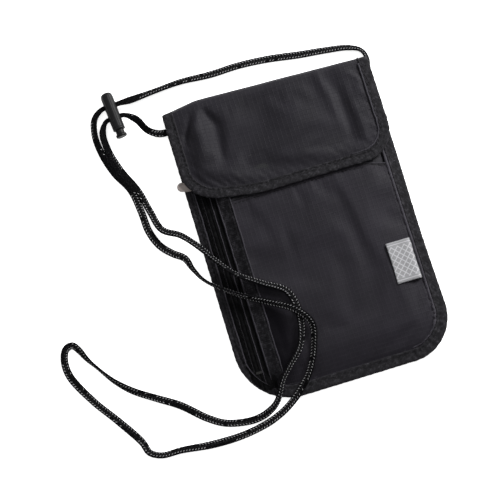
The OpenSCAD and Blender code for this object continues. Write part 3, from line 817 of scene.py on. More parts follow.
def add_front():
    x, y = panel_grid(3.0, 3.0, 3.0, POCKET_TOP, left_x=PANEL_X - 0.5, columns=110)
    y = y + (pocket_edge(x) - POCKET_TOP) * smooth(-10.0, POCKET_TOP, y)
    d = seam_distance(x, y)
    start = grid_of(x, y, front_height(x, y))
    pinned = np.maximum(1 - smooth(8.0, 10.5, d), 1 - smooth(PANEL_X, PANEL_X + 2.5, x))
    pinned = np.maximum(pinned, 0.4 * smooth(POCKET_TOP - 5, POCKET_TOP, y))
    settled = settle_cloth(start, pinned, 0.007, 1.6, 4.0)
    z = start[..., 2] + np.clip(settled[..., 2] - start[..., 2], -0.8, 0.5)
    front = crisp(thicken(grid_object("front_sheet", grid_of(x, y, z)), FRONT_CLOTH))
    finish_piece(front, FRONT_SHELL, "pouch", ["front_panel"])
    return x[-1], z[-1]


# ---- seam binding ----

def binding_section(width, raised):
    """Half-round tape round an edge: (distance in, height, texture place) of a closed loop."""
    top = 2.62
    return np.array([
        (width, 0.02, 22), (width * 0.5, 0.0, 18), (1.2, 0.02, 14), (0.35, 0.3, 13), (0.0, 0.95, 12.2),
        (0.05, 1.7, 11.4), (0.5, 2.3, 10.6), (1.4, top, 9.6), (3.0, top + 0.06, 8.0),
        (width * 0.62, top + 0.02, 4.8), (width - 1.5, top + 0.18 + raised * 0.6, 2.2),
        (width - 0.75, top + 0.22 + raised, 1.3), (width - 0.15, top + 0.05 + raised * 0.55, 0.6),
        (width, top - 0.35, 0.2), (width - 0.5, top - 0.5, 0.0), (width - 2.0, 2.08, -1.6),
        (1.6, 2.0, -5.0), (0.7, 1.2, -6.0), (1.6, 0.52, -7.0), (width, 0.5, -13.0)])


def binding_width(at):
    """The binding is narrower beside the zip and widens round the corner."""
    widening = smooth(Y_BOTTOM + R_LEFT + 6, Y_BOTTOM + 12, at[:, 1])
    return BINDING_LEFT + (BINDING - BINDING_LEFT) * np.where(at[:, 0] < 0, widening, 1.0)


def puckers(s, seed, pitch=7.5):
    """Irregular little waves where the tape was gathered by its stitches."""
    wander = rough(s, 0.0, 19.0, seed)
    fine = 0.6 * np.sin(2 * np.pi * s / 3.9 + 3.0 * rough(s, 0.0, 11.0, seed + 4.0))
    wave = 0.50 * np.sin(2 * np.pi * s / pitch + 2.6 * wander)
    return (wave + 0.55 * rough(s, 0.0, 4.0, seed + 1.3) + fine) * (0.65 + 0.35 * wander)


def add_binding():
    at, inward, s = seam_path(SEAM_TOP, SEAM_TOP, 1.1)
    width = binding_width(at)
    right = smooth(-30, 40, at[:, 0])
    wave = puckers(s, 2.2)
    rows = []
    for i in range(len(s)):
        section = binding_section(width[i], 0.15 + 0.55 * right[i])
        waist = 0.85 * right[i] * bump(at[i, 1], -22.0, 40.0)
        d = section[:, 0] + waist * bump(section[:, 0], 0, 2.5) + 0.18 * wave[i] * bump(section[:, 0], 0, 1.5)
        lift = 0.40 * wave[i] * smooth(0.8, 4.0, section[:, 0]) * (section[:, 1] > 2.2)
        lift -= 0.35 * bump(section[:, 0], width[i] - 2.4, 0.5) * (section[:, 1] > 2.2)
        xy = at[i] + d[:, None] * inward[i]
        rows.append(np.column_stack([xy, np.maximum(section[:, 1] + lift, 0)]))
    uv = grid_of(binding_section(BINDING, 0)[:, 2], s[:, None])
    band = grid_object("seam_binding", np.array(rows), uv, closed=True)
    finish_piece(band, TAPE, "pouch", ["edge_binding"])


# ---- stitches ----

def stitch_row(name, points, normals, body, pitch=3.1, length=2.3):
    """A row of sewn stitches: a small rounded bar for each, sunk at its ends."""
    points = np.asarray(points, float)
    s = lengths(points)
    rings, sides, width = 5, 6, 0.42
    verts, faces, uv = [], [], []
    for k in range(int(s[-1] / pitch)):
        start = k * pitch + 0.25 * (pitch - length)
        a, b = (np.array([np.interp(t, s, points[:, c]) for c in range(3)]) for t in (start, start + length))
        n = unit(np.array([np.interp(start, s, normals[:, c]) for c in range(3)]))
        run = (b - a) / max(np.linalg.norm(b - a), 1e-6)
        side = np.cross(n, run)
        shift = 0.15 * noise.noise(Vector((k * 1.7, 0.5, 2.0)))
        first = len(verts)
        for r in range(rings):
            t = r / (rings - 1)
            fat = 0.35 + 0.65 * math.sin(math.pi * t) ** 0.6
            middle = a + (b - a) * t + side * (shift + 0.10 * (t - 0.5)) \
                + n * (0.26 * math.sin(math.pi * t) - 0.12)
            for j in range(sides):
                turn = 2 * math.pi * j / sides
                verts.append(middle + fat * width / 2 * (math.cos(turn) * side + 0.8 * math.sin(turn) * n))
                uv.append((turn, start + t * length))
        faces += [tuple(first + q for q in f) for f in closed_faces(rings, sides)]
    row = mesh_object(name, verts, faces, uv)
    return finish_piece(row, THREAD, body)


def straight_stitches(name, x, y0, y1, height):
    y = np.linspace(y0, y1, 60)
    points = np.column_stack([np.full_like(y, x), y, [height(x, v) for v in y]])
    return stitch_row(name, points, np.tile(UP, (len(y), 1)), "pouch", pitch=2.9, length=2.1)


def add_seam_stitches():
    at, inward, s = seam_path(SEAM_TOP - 1.0, SEAM_TOP - 1.0, 2.0)
    inner = binding_width(at) - 2.4
    z = 2.62 + 0.40 * puckers(s, 2.2) - 0.02
    points = np.column_stack([at + inner[:, None] * inward, z])
    stitch_row("seam_stitches", points, np.tile(UP, (len(s), 1)), "pouch")


def add_edge_roll():
    """The front panel's rolled edge, which stands beside the binding; drawn in the lighter roll nylon, a
    painted highlight.
    """
    at, inward, s = seam_path(PANEL_X, POCKET_TOP + 55.0, 1.1)
    start = np.searchsorted(at[:, 0], PANEL_X - 2.0)
    at, inward, s = at[start:], inward[start:], s[start:]
    right = smooth(10, 58, at[:, 0])
    wave = puckers(s, 9.1)
    corner_work = bump(at[:, 0] - at[:, 1], X_RIGHT - Y_BOTTOM - 12, 22)
    jag = np.sin(s * 2.3 + 1.5 * np.sin(s / 2.1))
    along_base = smooth(Y_BOTTOM + 16, Y_BOTTOM + 9, at[:, 1])
    inset = BINDING + 0.75 + 0.16 * wave + corner_work * (0.3 * wave + 0.45 * jag)
    radius = (0.30 + 0.70 * right + 0.12 * wave) * (1 - 0.45 * along_base) * (1 + 0.25 * corner_work * jag)
    z = 2.75 + 0.75 * right + (0.14 + 0.3 * corner_work) * wave - 0.35 * along_base
    z = z + 0.9 * bump(at[:, 1], LABEL_Y, 13.0) * right
    z = z - 0.6 * smooth(POCKET_TOP - 2, POCKET_TOP + 6, at[:, 1])
    line = np.column_stack([at + inset[:, None] * inward, z])
    roll = tube("edge_roll", line, np.maximum(radius, 0.25), 10)
    finish_piece(roll, LIT_ROLL_NYLON, "pouch")


add_lining()
HEM_X, HEM_Z = add_front()
add_binding()
add_seam_stitches()


# ---- pocket hem ----

def add_hem():
    """Edge of the pocket turned to the inside: a soft roll, the turned tape behind it, and stitches."""
    x = HEM_X
    y1 = pocket_edge(x)
    section = np.array([                    # past the edge, height, texture place
        (-4.2, -0.62, 0), (-4.2, -0.86, 0.4), (-2.0, -0.95, 2.6), (-0.3, -0.95, 4.3), (0.35, -0.75, 5.0),
        (0.62, -0.38, 5.5), (0.62, -0.05, 5.9), (0.40, 0.20, 6.3), (0.0, 0.30, 6.8), (-0.7, 0.24, 7.5),
        (-1.3, 0.02, 8.2), (-1.2, -0.20, 8.6), (-0.2, -0.42, 9.6), (-2.0, -0.60, 11.5)])
    yy = y1[:, None] + section[:, 0]
    xx = np.repeat(x[:, None], len(section), axis=1)
    z = HEM_Z[:, None] + section[:, 1] + 0.05 * rough(xx, yy, 6.0, 4.4)
    uv = grid_of(section[:, 2], xx)
    hem = grid_object("hem_band", grid_of(xx, yy, z), uv, closed=True)
    finish_piece(hem, TAPE, "pouch", ["pocket_hem"])
    end = x > 40
    line = np.column_stack([x, y1 + 0.35, HEM_Z + 0.22])[end]
    # The hem's roll is drawn in the lighter roll nylon: a painted highlight.
    roll = tube("hem_roll", line, 0.12 + 0.24 * smooth(40, 50, line[:, 0]))
    finish_piece(roll, LIT_ROLL_NYLON, "pouch")
    inside = slice(3, -12)
    points = np.column_stack([x, y1 - 2.9, HEM_Z + 0.08])[inside]
    stitch_row("hem_stitches", points, np.tile(UP, (len(points), 1)), "pouch", pitch=2.6, length=1.9)


# ---- zip ----

def shade(y):
    """1 where the corner turns and the strips are folded under the binding."""
    return smooth(Y_BOTTOM + R_LEFT, Y_BOTTOM + R_LEFT - 4, y)


def zip_tape(name, profile, node):
    """A tape along Y from a closed (x, z) profile that ripples a little."""
    profile = np.asarray(profile, float)
    y = np.linspace(Y_BOTTOM + 5.5, ZIP_TOP, 120)[:, None]
    ripple = 0.10 * rough(y, 0.0, 9.0, 2.0)
    inmost = side_x(y, 1.0, -1) + 0.02 * np.arange(len(profile)) * shade(y)
    x = np.maximum(profile[:, 0] + 0.5 * ripple, inmost)
    z = 1.75 + (profile[:, 1] + ripple - 1.75) * smooth(Y_BOTTOM + 2, Y_BOTTOM + 17, y)
    uv = grid_of(lengths(profile), y)
    obj = grid_object(name, grid_of(x, y, z)[::-1], uv[::-1], closed=True)
    finish_piece(obj, ZIP_CLOTH, "pouch", [node])


def add_zip():
    low, high = TAPE_Z, TAPE_Z + 0.4
    edge = ZIP_X - 4.4
    bed = [(0.06, low + 0.25), (0.2, high + 0.12), (0.7, high + 0.32), (1.5, high + 0.36),
           (2.1, high + 0.10), (2.5, high)]     # both tapes beside the coil
    left = [(X_LEFT + 1, 1.55), (X_LEFT + 5, 1.6), (edge, low), (ZIP_X - 0.12, low)]
    left += [(ZIP_X - x, z) for x, z in bed]
    left += [(ZIP_X - 3.2, high + 0.02), (edge + 0.3, high + 0.16), (edge - 0.3, high),
             (X_LEFT + 4.6, 2.1), (X_LEFT + 1, 2.0)]
    right = [(ZIP_X + 0.12, low), (FACING_X + 0.4, low), (FACING_X + 3.5, low + 1.1),
             (FACING_X + 3.5, low + 1.4), (FACING_X + 0.2, high + 0.1), (FACING_X - 0.6, high)]
    right += [(ZIP_X + x, z) for x, z in reversed(bed)]
    zip_tape("zip_tape_l", left[::-1], "zip_tape_left")
    zip_tape("zip_tape_r", right[::-1], "zip_tape_right")
    section = [(-0.1, -0.45), (0, 0.08), (0.5, 0.36), (1.3, 0.32), (2.6, 0.08), (4.0, 0.05), (5.4, 0.10),
               (6.4, 0.38), (7.3, 0.42), (8.0, 0.30), (8.3, -0.02), (8.0, -0.5), (4.0, -0.5)]
    y = np.linspace(Y_BOTTOM + 6.0, ZIP_TOP, 150)
    across, lift = np.array(section).T
    xx, yy = np.meshgrid(FACING_X + across, y)
    z = facing_height(xx, yy) + lift + 0.12 * rough(yy, 0.0, 8.0, 6.0)
    uv = grid_of(xx, yy)
    facing = grid_object("facing_band", grid_of(xx, yy, z)[::-1], uv[::-1], closed=True)
    finish_piece(facing, FACING, "pouch", ["zip_facing"])
    add_ridges()
    for k, (at, lift) in enumerate(((FACING_X + 1.0, 0.40), (FACING_X + 7.0, 0.48))):
        straight_stitches(f"facing_stitches_{k}", at, Y_BOTTOM + 10, ZIP_TOP - 2,
                          lambda u, v, lift=lift: float(facing_height(u, v)) + lift)
    straight_stitches("tape_stitches", ZIP_X - 3.6, ZIP_BOTTOM + 2, ZIP_TOP - 2, lambda u, v: high + 0.10)
    add_coil(-1, "coil_l", "zip_coil_left")
    add_coil(1, "coil_r", "zip_coil_right")


def add_ridges():
    """Rolled edges of the facing and of the zip tapes; all but the left tape's are drawn in the lighter roll
    nylon, a painted highlight.
    """
    y = np.arange(Y_BOTTOM + 12, ZIP_TOP, 1.2)
    for name, x, lift, radius, material in (
            ("facing_roll", FACING_X + 0.6, 0.45, 0.42, LIT_ROLL_NYLON),
            ("panel_roll", PANEL_X + 0.9, 0.40, 0.45, LIT_ROLL_NYLON),
            ("seam_roll", X_LEFT + 5.6, None, 0.34, LIT_ROLL_NYLON), ("tape_roll_l", ZIP_X - 2.9, None, 0.30, FACING),
            ("tape_roll_r", ZIP_X + 2.3, None, 0.30, LIT_ROLL_NYLON)):
        wave = rough(y, 0.0, 5.0, x)
        at = x + 0.22 * wave
        z = TAPE_Z + 0.72 + 0.05 * wave if lift is None else facing_height(at, y) + lift + 0.10 * wave
        line = np.column_stack([np.maximum(at, side_x(y, 5.0, -1)), y, z])
        taper = 0.35 + 0.65 * smooth(Y_BOTTOM + 13, Y_BOTTOM + 28, y)
        finish_piece(tube(name, line, (radius + 0.06 * wave) * taper, 8), material, "pouch")


def facing_height(x, y):
    """Top of the facing: it climbs from the zip to the front panel and dips to the bottom seam."""
    x, y = np.broadcast_arrays(np.asarray(x, float), np.asarray(y, float))
    d = seam_distance(x, y)
    climb = 3.75 + (FRONT_TOP - 4.0) * smooth(FACING_X - 1.0, PANEL_X + 1.5, x)
    return 2.4 + (climb - 2.4) * smooth(5.0, 16.0, d)


def add_coil(side, name, node):
    """One half of the nylon coil: a close helix along the tape."""
    low, high = corner(node, 0), corner(node, 1)
    middle_x, middle_z = (low[0] + high[0]) / 2, (low[2] + high[2]) / 2
    pitch, coil_r, wire = 1.3, 0.36, 0.16
    turns = (high[1] - low[1]) / pitch
    t = np.linspace(0, turns * 2 * np.pi, int(turns * 8))
    line = np.column_stack([middle_x - side * 0.1 + side * coil_r * np.cos(t),
                            low[1] + pitch * t / (2 * np.pi), middle_z + 0.3 * np.sin(t)])
    finish_piece(tube(name, line, wire, 5), LIT_COIL_NYLON, "pouch", [node])


# ---- label ----

def add_label():
    x = np.linspace(LABEL_LOW[0], LABEL_HIGH[0] - 0.6, 26)
    y = np.linspace(LABEL_LOW[1], LABEL_HIGH[1], 30)
    xx, yy = np.meshgrid(x, y)
    xx = xx + 0.25 * np.sin((yy - LABEL_LOW[1]) / 9.0) * (1 - smooth(x[0], x[-1], xx))
    free = 1 - smooth(x[0], x[-1] - 6, xx)
    z = FRONT_TOP - 0.75 + 0.65 * smooth(x[-1], x[-1] - 5, xx) \
        + free * (0.9 + 0.35 * bump(yy, LABEL_Y + 8, 8)) + 0.20 * bump(xx, x[-1] - 7, 2.5)
    z = np.maximum(z, front_height(xx, yy) + 0.45)
    z -= (z - np.maximum(front_height(xx, yy) + 0.12, 2.4)) * smooth(x[-1] - 3.0, x[-1] - 0.6, xx)
    label = thicken(grid_object("side_label", grid_of(xx, yy, z)), LABEL_TAPE)
    finish_piece(label, LABEL_CLOTH, "pouch", ["woven_label"])


add_hem()
add_zip()
add_edge_roll()
add_label()


# ---- flap, fold and back: one shell ----

FOLD_Y = Y_FOLD - 3.4                   # the straight cloth ends here, front and back
FOLD_OUT = 4.3                          # and the fold stands out past it
BACK_Z = 0.55
FOLD_R = (FLAP_Z - BACK_Z) / 2
GIRTH = math.pi * math.sqrt((FOLD_OUT ** 2 + FOLD_R ** 2) / 2)
FLAP_BINDING = 7.0


def flap_distance(x, g):
    return edge_distance(x, g, FLAP_Y, FLAP_R, FLAP_R)


def flap_height(x, g):
    """Top of the flap's cloth: it sags at its sides and hangs in soft bands from the fold."""
    d = flap_distance(x, g)
    sag = -0.9 * (1 - smooth(4.0, 22.0, np.minimum(x - X_LEFT, X_RIGHT - x)))
    hang = smooth(Y_FOLD, Y_FOLD - 22, g)
    bands = 1.0 * bump(x + 0.10 * g, 58.0, 3.2) * bump(g, 62.0, 22.0)
    bands -= 0.9 * bump(x + 0.03 * g, 47.0, 4.0) * bump(g, 66.0, 24.0)
    bands += 0.80 * np.sin(x / 8.5 + 1.3 * rough(x, g, 40.0, 2.0)) * (0.45 + 0.55 * hang)
    bands += 1.0 * bump(x + 0.16 * g, 50.0, 3.4) * smooth(48.0, 70.0, g)
    bands += 0.30 * bump(x + 0.35 * g, -24.0, 5.0) * hang
    bands += 0.9 * bump(x + 0.05 * g, -55.5, 3.2) * bump(g, 60.0, 24.0)
    cloth = 0.20 * rough(x, g, 18.0, 8.3)
    corner_work = 1 + 0.9 * bump(x, X_LEFT + 16, 18) * bump(g, FLAP_Y + 10, 16)
    pucker = 0.24 * corner_work * np.exp(-np.maximum(d - FLAP_BINDING, 0) / 5.0) \
        * np.sin(x + 0.8 * g + 2.2 * rough(x, g, 13.0, 4.9))
    return FLAP_Z + sag + smooth(8.0, 17, d) * (bands + cloth) * smooth(Y_FOLD + 2, Y_FOLD - 8, g) \
        + smooth(7, 10, d) * corner_facet(x, g) * smooth(FOLD_Y + 1, FOLD_Y - 4, g) \
        + smooth(7, 9.0, d) * pucker * smooth(FOLD_Y, FOLD_Y - 6, g)


def fold_shift(x):
    """How far the fold stands further out or slumps back along its length."""
    line = np.interp(x, (X_LEFT, -48.0, -44.0, 12.0, X_RIGHT), (-1.5, 1.85, 2.0, 0.3, -1.5))
    return line + 0.12 * rough(x, 0.0, 22.0, 3.0)


def corner_facet(x, g):
    """Facet that spreads from the fold's left corner, with the creases that bound it."""
    down = Y_FOLD + 2.0 - g
    spread = np.clip(down / 18.0, 0.15, 1.0)
    valley = np.interp(g, (40, 60, 83, Y_FOLD + 3), (-41.0, -40.0, -38.5, -45.5))
    fade = smooth(44, 66, g)
    w = x - valley
    folds = -1.25 * bump(w, 0, 4.2 * spread) + 0.95 * bump(w, -12.5 * spread, 4.5 * spread)
    streak = -0.75 * bump(x - np.interp(g, (70, 80, 94), (-62.0, -59.3, -53.0)), 0, 1.9) * bump(g, 84, 9)
    return 1.8 * (fade * folds * spread ** 0.5) + 2.2 * streak


def shell_point(x, g):
    """Point of the outer cloth: g is Y on the flap, and runs on round the fold to the back."""
    x, g = np.broadcast_arrays(np.asarray(x, float), np.asarray(g, float))
    on_flap = np.minimum(g, FOLD_Y)
    lift = 5.4 * smooth(-18, -62, x) * smooth(92, 46, on_flap)
    t = np.clip((g - FOLD_Y) / GIRTH, 0, 1)
    a = math.pi * (0.5 - t)
    past = np.maximum(g - FOLD_Y - GIRTH, 0)
    edge = flap_height(x, on_flap)
    y = on_flap + lift + FOLD_OUT * np.cos(a) + fold_shift(x) * np.sin(math.pi * t) - past
    z = np.where(g <= FOLD_Y, edge, BACK_Z + FOLD_R * (1 + np.sin(a)) + (edge - FLAP_Z) * (1 - t))
    return grid_of(x, y, z)


def on_shell(x, g, h):
    """The point at height h over the outer cloth."""
    step = 0.2
    at = shell_point(x, g)
    across = shell_point(x + step, g) - shell_point(x - step, g)
    along = shell_point(x, g + step) - shell_point(x, g - step)
    return at + np.asarray(h)[..., None] * unit(np.cross(across, along))


def turn_with_fold(obj, upper):
    if upper:
        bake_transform(obj)
    else:
        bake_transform(obj)


def add_back():
    """Back cloth, and the half of the fold that grows from it."""
    x, y = panel_grid(1.0, 1.0, 1.0, FOLD_Y - 1.0, columns=112)
    d = seam_distance(x, y)
    z = BACK_Z + 0.45 * (1 - smooth(7.0, 10.0, d)) * smooth(FOLD_Y - 1, FOLD_Y - 8, y) \
        + 0.04 * rough(x, y, 11.0, 5.5)
    g = np.linspace(FOLD_Y + GIRTH, FOLD_Y + GIRTH / 2, 14)
    across = x[-1]
    fold = shell_point(across[None, :], g[:, None])
    points = np.concatenate([grid_of(x, y, z), fold])
    v = np.concatenate([y[:, 0], 2 * FOLD_Y + GIRTH - g])
    uv = grid_of(points[..., 0], v[:, None])
    back = crisp(thicken(grid_object("back_sheet", points, uv), BACK_CLOTH))
    finish_piece(back, SHELL, None, ["back_panel", "flap_spine"])
    turn_with_fold(back, False)


def add_flap():
    """Flap cloth and its lining, with the other half of the fold."""
    g = np.concatenate([sheet_rows(FLAP_Y + 2.5, FOLD_Y, FLAP_Y + FLAP_R, 1.5, 1.9),
                        np.linspace(FOLD_Y, FOLD_Y + GIRTH / 2, 14)[1:]])
    start, end = (edge_x(g, 1.5, side, FLAP_Y, FLAP_R) for side in (-1, 1))
    t = np.linspace(0, 1, 120)
    x = start[:, None] + (end - start)[:, None] * t[None, :]
    gg = np.repeat(g[:, None], len(t), axis=1)
    base = shell_point(x, gg)
    flat_rows = g <= FOLD_Y
    d = flap_distance(x[flat_rows], gg[flat_rows])
    pinned = np.maximum(1 - smooth(FLAP_BINDING - 1, FLAP_BINDING + 1.5, d),
                        smooth(FOLD_Y - 4, FOLD_Y - 1, gg[flat_rows]))
    settled = settle_cloth(base[flat_rows], pinned, 0.006, 1.6, 6.0)
    moved = 0.8 * np.clip(settled[..., 2] - base[flat_rows][..., 2], -0.5, 0.8)
    h = np.zeros(x.shape)
    h[flat_rows] = moved
    uv = grid_of(x, gg)
    outer = crisp(thicken(grid_object("flap_sheet", on_shell(x, gg, h), uv), FLAP_CLOTH))
    finish_piece(outer, SHADED_FLAP_SHELL, None, ["flap_outer"])
    lining = crisp(thicken(grid_object("flap_inner_sheet", on_shell(x, gg, h - 0.46), uv), FLAP_LINING))
    finish_piece(lining, LINING, None, ["flap_lining"])
    for part in (outer, lining):
        turn_with_fold(part, True)


def flap_section(raised):
    """Tape round the flap's edge: (distance in, height above the cloth, texture place)."""
    w = FLAP_BINDING
    return np.array([
        (w, -0.95, 22), (w * 0.5, -1.05, 18), (1.2, -1.05, 14), (0.3, -0.8, 13), (0.0, -0.35, 12.2),
        (0.1, 0.1, 11.6), (0.6, 0.42, 10.8), (1.6, 0.55, 9.6), (3.0, 0.54, 8.0), (4.6, 0.40, 5.5),
        (w - 1.9, 0.46, 2.4), (w - 1.3, 0.42, 1.9), (w - 0.7, 0.50 + raised, 1.2),
        (w - 0.15, 0.34 + raised * 0.5, 0.6),
        (w, 0.0, 0.2), (w - 0.6, -0.1, -0.5), (1.8, -0.12, -4.0), (1.0, -0.3, -5.0), (1.8, -0.6, -6.0),
        (w, -0.62, -12.0)])


def swept_tape(name, at, inward, s, raised, wave):
    """The flap's tape swept along points (x, g) of the shell."""
    rows = []
    for i in range(len(s)):
        section = flap_section(raised[i])
        d = section[:, 0] + 0.30 * wave[i] * bump(section[:, 0], 0, 2.0)
        x, g = (at[i] + d[:, None] * inward[i]).T
        h = section[:, 1] + 0.36 * wave[i] * smooth(0.5, 4.0, section[:, 0]) * (section[:, 1] > 0)
        h -= 0.30 * bump(section[:, 0], FLAP_BINDING - 1.3, 0.45) * (section[:, 1] > 0)
        rows.append(on_shell(x, g, h))
    uv = grid_of(flap_section(0)[:, 2], s[:, None])
    return grid_object(name, np.array(rows), uv, closed=True)


def add_flap_binding():
    top = FOLD_Y + GIRTH / 2
    at, inward, s = edge_path(top, top, FLAP_Y, FLAP_R, FLAP_R, 0.9)
    wave = puckers(s, 6.4, 8.5) * smooth(FOLD_Y + 2, FOLD_Y - 6, at[:, 1])
    raised = 0.08 + 0.35 * smooth(20, 60, at[:, 0])
    band = swept_tape("flap_edge_tape", at, inward, s, raised, wave)
    finish_piece(band, TAPE, None, ["flap_binding"])
    turn_with_fold(band, True)
    rolled = (at[:, 0] > 40) & (at[:, 1] < FOLD_Y)
    inner = at + (FLAP_BINDING + 0.35 + 0.18 * wave[:, None]) * inward
    weight = (smooth(40, 60, at[:, 0]) * (0.5 + 0.5 * smooth(40, 70, at[:, 1])))[rolled]
    # The flap's inner edge roll is drawn in the lighter roll nylon: a painted highlight.
    roll = tube("flap_edge_roll", on_shell(inner[rolled, 0], inner[rolled, 1], 0.28 + 0.25 * weight),
                0.30 + 0.32 * weight, 10)
    finish_piece(roll, LIT_ROLL_NYLON, "flap")
    keep = at[:, 1] < FOLD_Y - 0.5
    inner = at + (FLAP_BINDING - 1.3) * inward
    points = on_shell(inner[:, 0], inner[:, 1], 0.32 + 0.36 * wave)[keep]
    stitch_row("flap_stitches", points, np.tile(UP, (len(points), 1)), "flap")
    for side in (-1, 1):
        g = np.linspace(FOLD_Y + GIRTH / 2, FOLD_Y + GIRTH + 1.0, 14)
        at = np.column_stack([np.full(len(g), X_LEFT if side < 0 else X_RIGHT), g])
        inward = np.tile((-side, 0.0), (len(g), 1))
        low = swept_tape("fold_tape_l" if side < 0 else "fold_tape_r", at[::side], inward, g[::side] - g[0],
                         np.full(len(g), 0.08), 0 * g)
        finish_piece(low, TAPE, None)
        turn_with_fold(low, False)


add_back()
add_flap()
add_flap_binding()


# ---- hook and loop ----

def add_pile(name, node, body, up, seed):
    """A patch with a raised edge and a crowd of small hooks or loops on its face."""
    low, high = corner(node, 0), corner(node, 1)
    x = np.linspace(low[0], high[0], 121)
    y = np.linspace(low[1], high[1], 33)
    xx, yy = np.meshgrid(x, y)
    pile = 0.16 * rough(xx, yy, 0.7, seed) + 0.05 * np.sin(xx * 4.2) * np.sin(yy * 4.2)
    inside = np.minimum.reduce([xx - low[0], high[0] - xx, yy - low[1], high[1] - yy])
    edge = smooth(0, 1.2, inside)
    middle = (low[2] + high[2]) / 2
    z = middle + up * (0.10 + 0.15 * edge + pile * edge)
    if up < 0:
        z = np.maximum(z, low[2] - 0.05)
    patch = thicken(grid_object(name, grid_of(xx, yy, z)[::up]), 0.25)
    finish_piece(patch, PILE, body, [node])


add_pile("loop_pile", "loop_patch", "pouch", 1, 3.3)
add_pile("hook_pile", "hook_patch", "flap", -1, 5.1)


# ---- turned and plate-like parts ----

def lathe(profile, segments, ribs=None):
    """Points and faces of a profile of (radius, height) turned about Z."""
    turn = np.linspace(0, 2 * np.pi, segments, endpoint=False)
    rows = []
    for r, h in profile:
        radius = r * np.ones(segments) if ribs is None else r + ribs(turn, h, r)
        rows.append(np.column_stack([radius * np.cos(turn), radius * np.sin(turn), np.full(segments, h)]))
    return np.array(rows).reshape(-1, 3), closed_faces(len(profile), segments)


def cut(obj, *cutters):
    for c in cutters:
        modifier(obj, "BOOLEAN", object=c, operation="DIFFERENCE", solver="EXACT")
    apply_modifiers(obj)
    for c in cutters:
        bpy.data.objects.remove(c)
    return obj


def rod(name, radius, length, segments=32):
    points, faces = lathe([(radius, -length / 2), (radius, length / 2)], segments)
    return mesh_object(name, points, faces)


def bevelled(obj, width, angle=40):
    modifier(obj, "BEVEL", width=width * MM, segments=3, limit_method="ANGLE",
             angle_limit=math.radians(angle))
    return apply_modifiers(obj)


LOCK_FRAME = (Matrix.Translation(Vector(LOCK_AT) * MM) @ Matrix.Rotation(math.radians(LOCK_TURN), 4, "Z")
              @ Matrix.Rotation(-math.pi / 2, 4, "X"))
LOCK_TOP, LOCK_LOW, LOCK_R, LOCK_BORE_R = 15.5, -10.5, 4.0, 2.9
LOCK_HOLES = (6.1, -2.3)
LOCK_HOLE_R = 1.9
LOCK_TRAVEL = 2.5
LOCK_BORE_L, LOCK_CAP = 24.8, 1.2        # the bore stops short of the closed top
BUTTON_LOW = LOCK_LOW - 5.0


def onto_lock(obj):
    obj.data.transform(LOCK_FRAME)
    return obj


def cross_rod(height, radius):
    """A cutter across the lock, along its X axis."""
    c = rod("cutter", radius, 12.0)
    c.data.transform(Matrix.Translation((0, 0, height * MM)) @ Matrix.Rotation(math.pi / 2, 4, "Y"))
    return c


def add_lock():
    def ribs(turn, height, radius):
        """Two parting lines and a run of shallow flutes down the barrel."""
        if radius < LOCK_R - 0.35 or not LOCK_LOW + 1.6 < height < LOCK_TOP - 2.6:
            return 0 * turn
        flute = -0.10 * smooth(0.35, 0.95, np.cos(turn * 10)) * smooth(0.15, 0.5, np.abs(np.sin(turn)))
        return flute + 0.05 * smooth(0.995, 1.0, np.abs(np.sin(turn)))

    wall = [(0.2, LOCK_TOP), (1.6, LOCK_TOP - 0.05), (2.6, LOCK_TOP - 0.35), (3.3, LOCK_TOP - 0.9),
            (3.7, LOCK_TOP - 1.6), (3.85, LOCK_TOP - 2.4), (3.86, LOCK_TOP - 2.55), (3.98, LOCK_TOP - 2.75)]
    wall += [(3.98, h) for h in np.linspace(LOCK_TOP - 3.0, LOCK_LOW + 2.0, 16)]
    wall += [(3.98, LOCK_LOW + 1.7), (3.86, LOCK_LOW + 1.5), (3.86, LOCK_LOW + 1.2), (4.0, LOCK_LOW + 1.0),
             (4.0, LOCK_LOW + 0.35), (3.85, LOCK_LOW + 0.08), (3.5, LOCK_LOW), (LOCK_BORE_R, LOCK_LOW)]
    points, faces = lathe(wall[::-1], 72, ribs)
    barrel = mesh_object("lock_body", points, faces)
    bore = rod("bore", LOCK_BORE_R, LOCK_BORE_L, 48)
    bore.data.transform(Matrix.Translation((0, 0, (LOCK_TOP - LOCK_CAP - LOCK_BORE_L / 2) * MM)))
    cut(barrel, bore, *(cross_rod(h, LOCK_HOLE_R) for h in LOCK_HOLES))
    finish_piece(onto_lock(barrel), LOCK_PLASTIC, "pouch", ["lock_barrel"])
    for k, h in enumerate(LOCK_HOLES):
        for side in (-1, 1):
            rim = tube(f"hole_rim_{k}_{'l' if side < 0 else 'r'}", ring_on_barrel(h, side), 0.22, 8)
            finish_piece(onto_lock(rim), LOCK_PLASTIC, "pouch")


def ring_on_barrel(height, side):
    """Closed line round a cross hole, lying on the barrel's surface."""
    a = np.linspace(0, 2 * np.pi, 37)
    across, along = (LOCK_HOLE_R + 0.12) * np.cos(a), (LOCK_HOLE_R + 0.12) * np.sin(a)
    depth = np.sqrt(LOCK_R ** 2 - across ** 2) - 0.05
    return np.column_stack([side * depth, across, height + along])


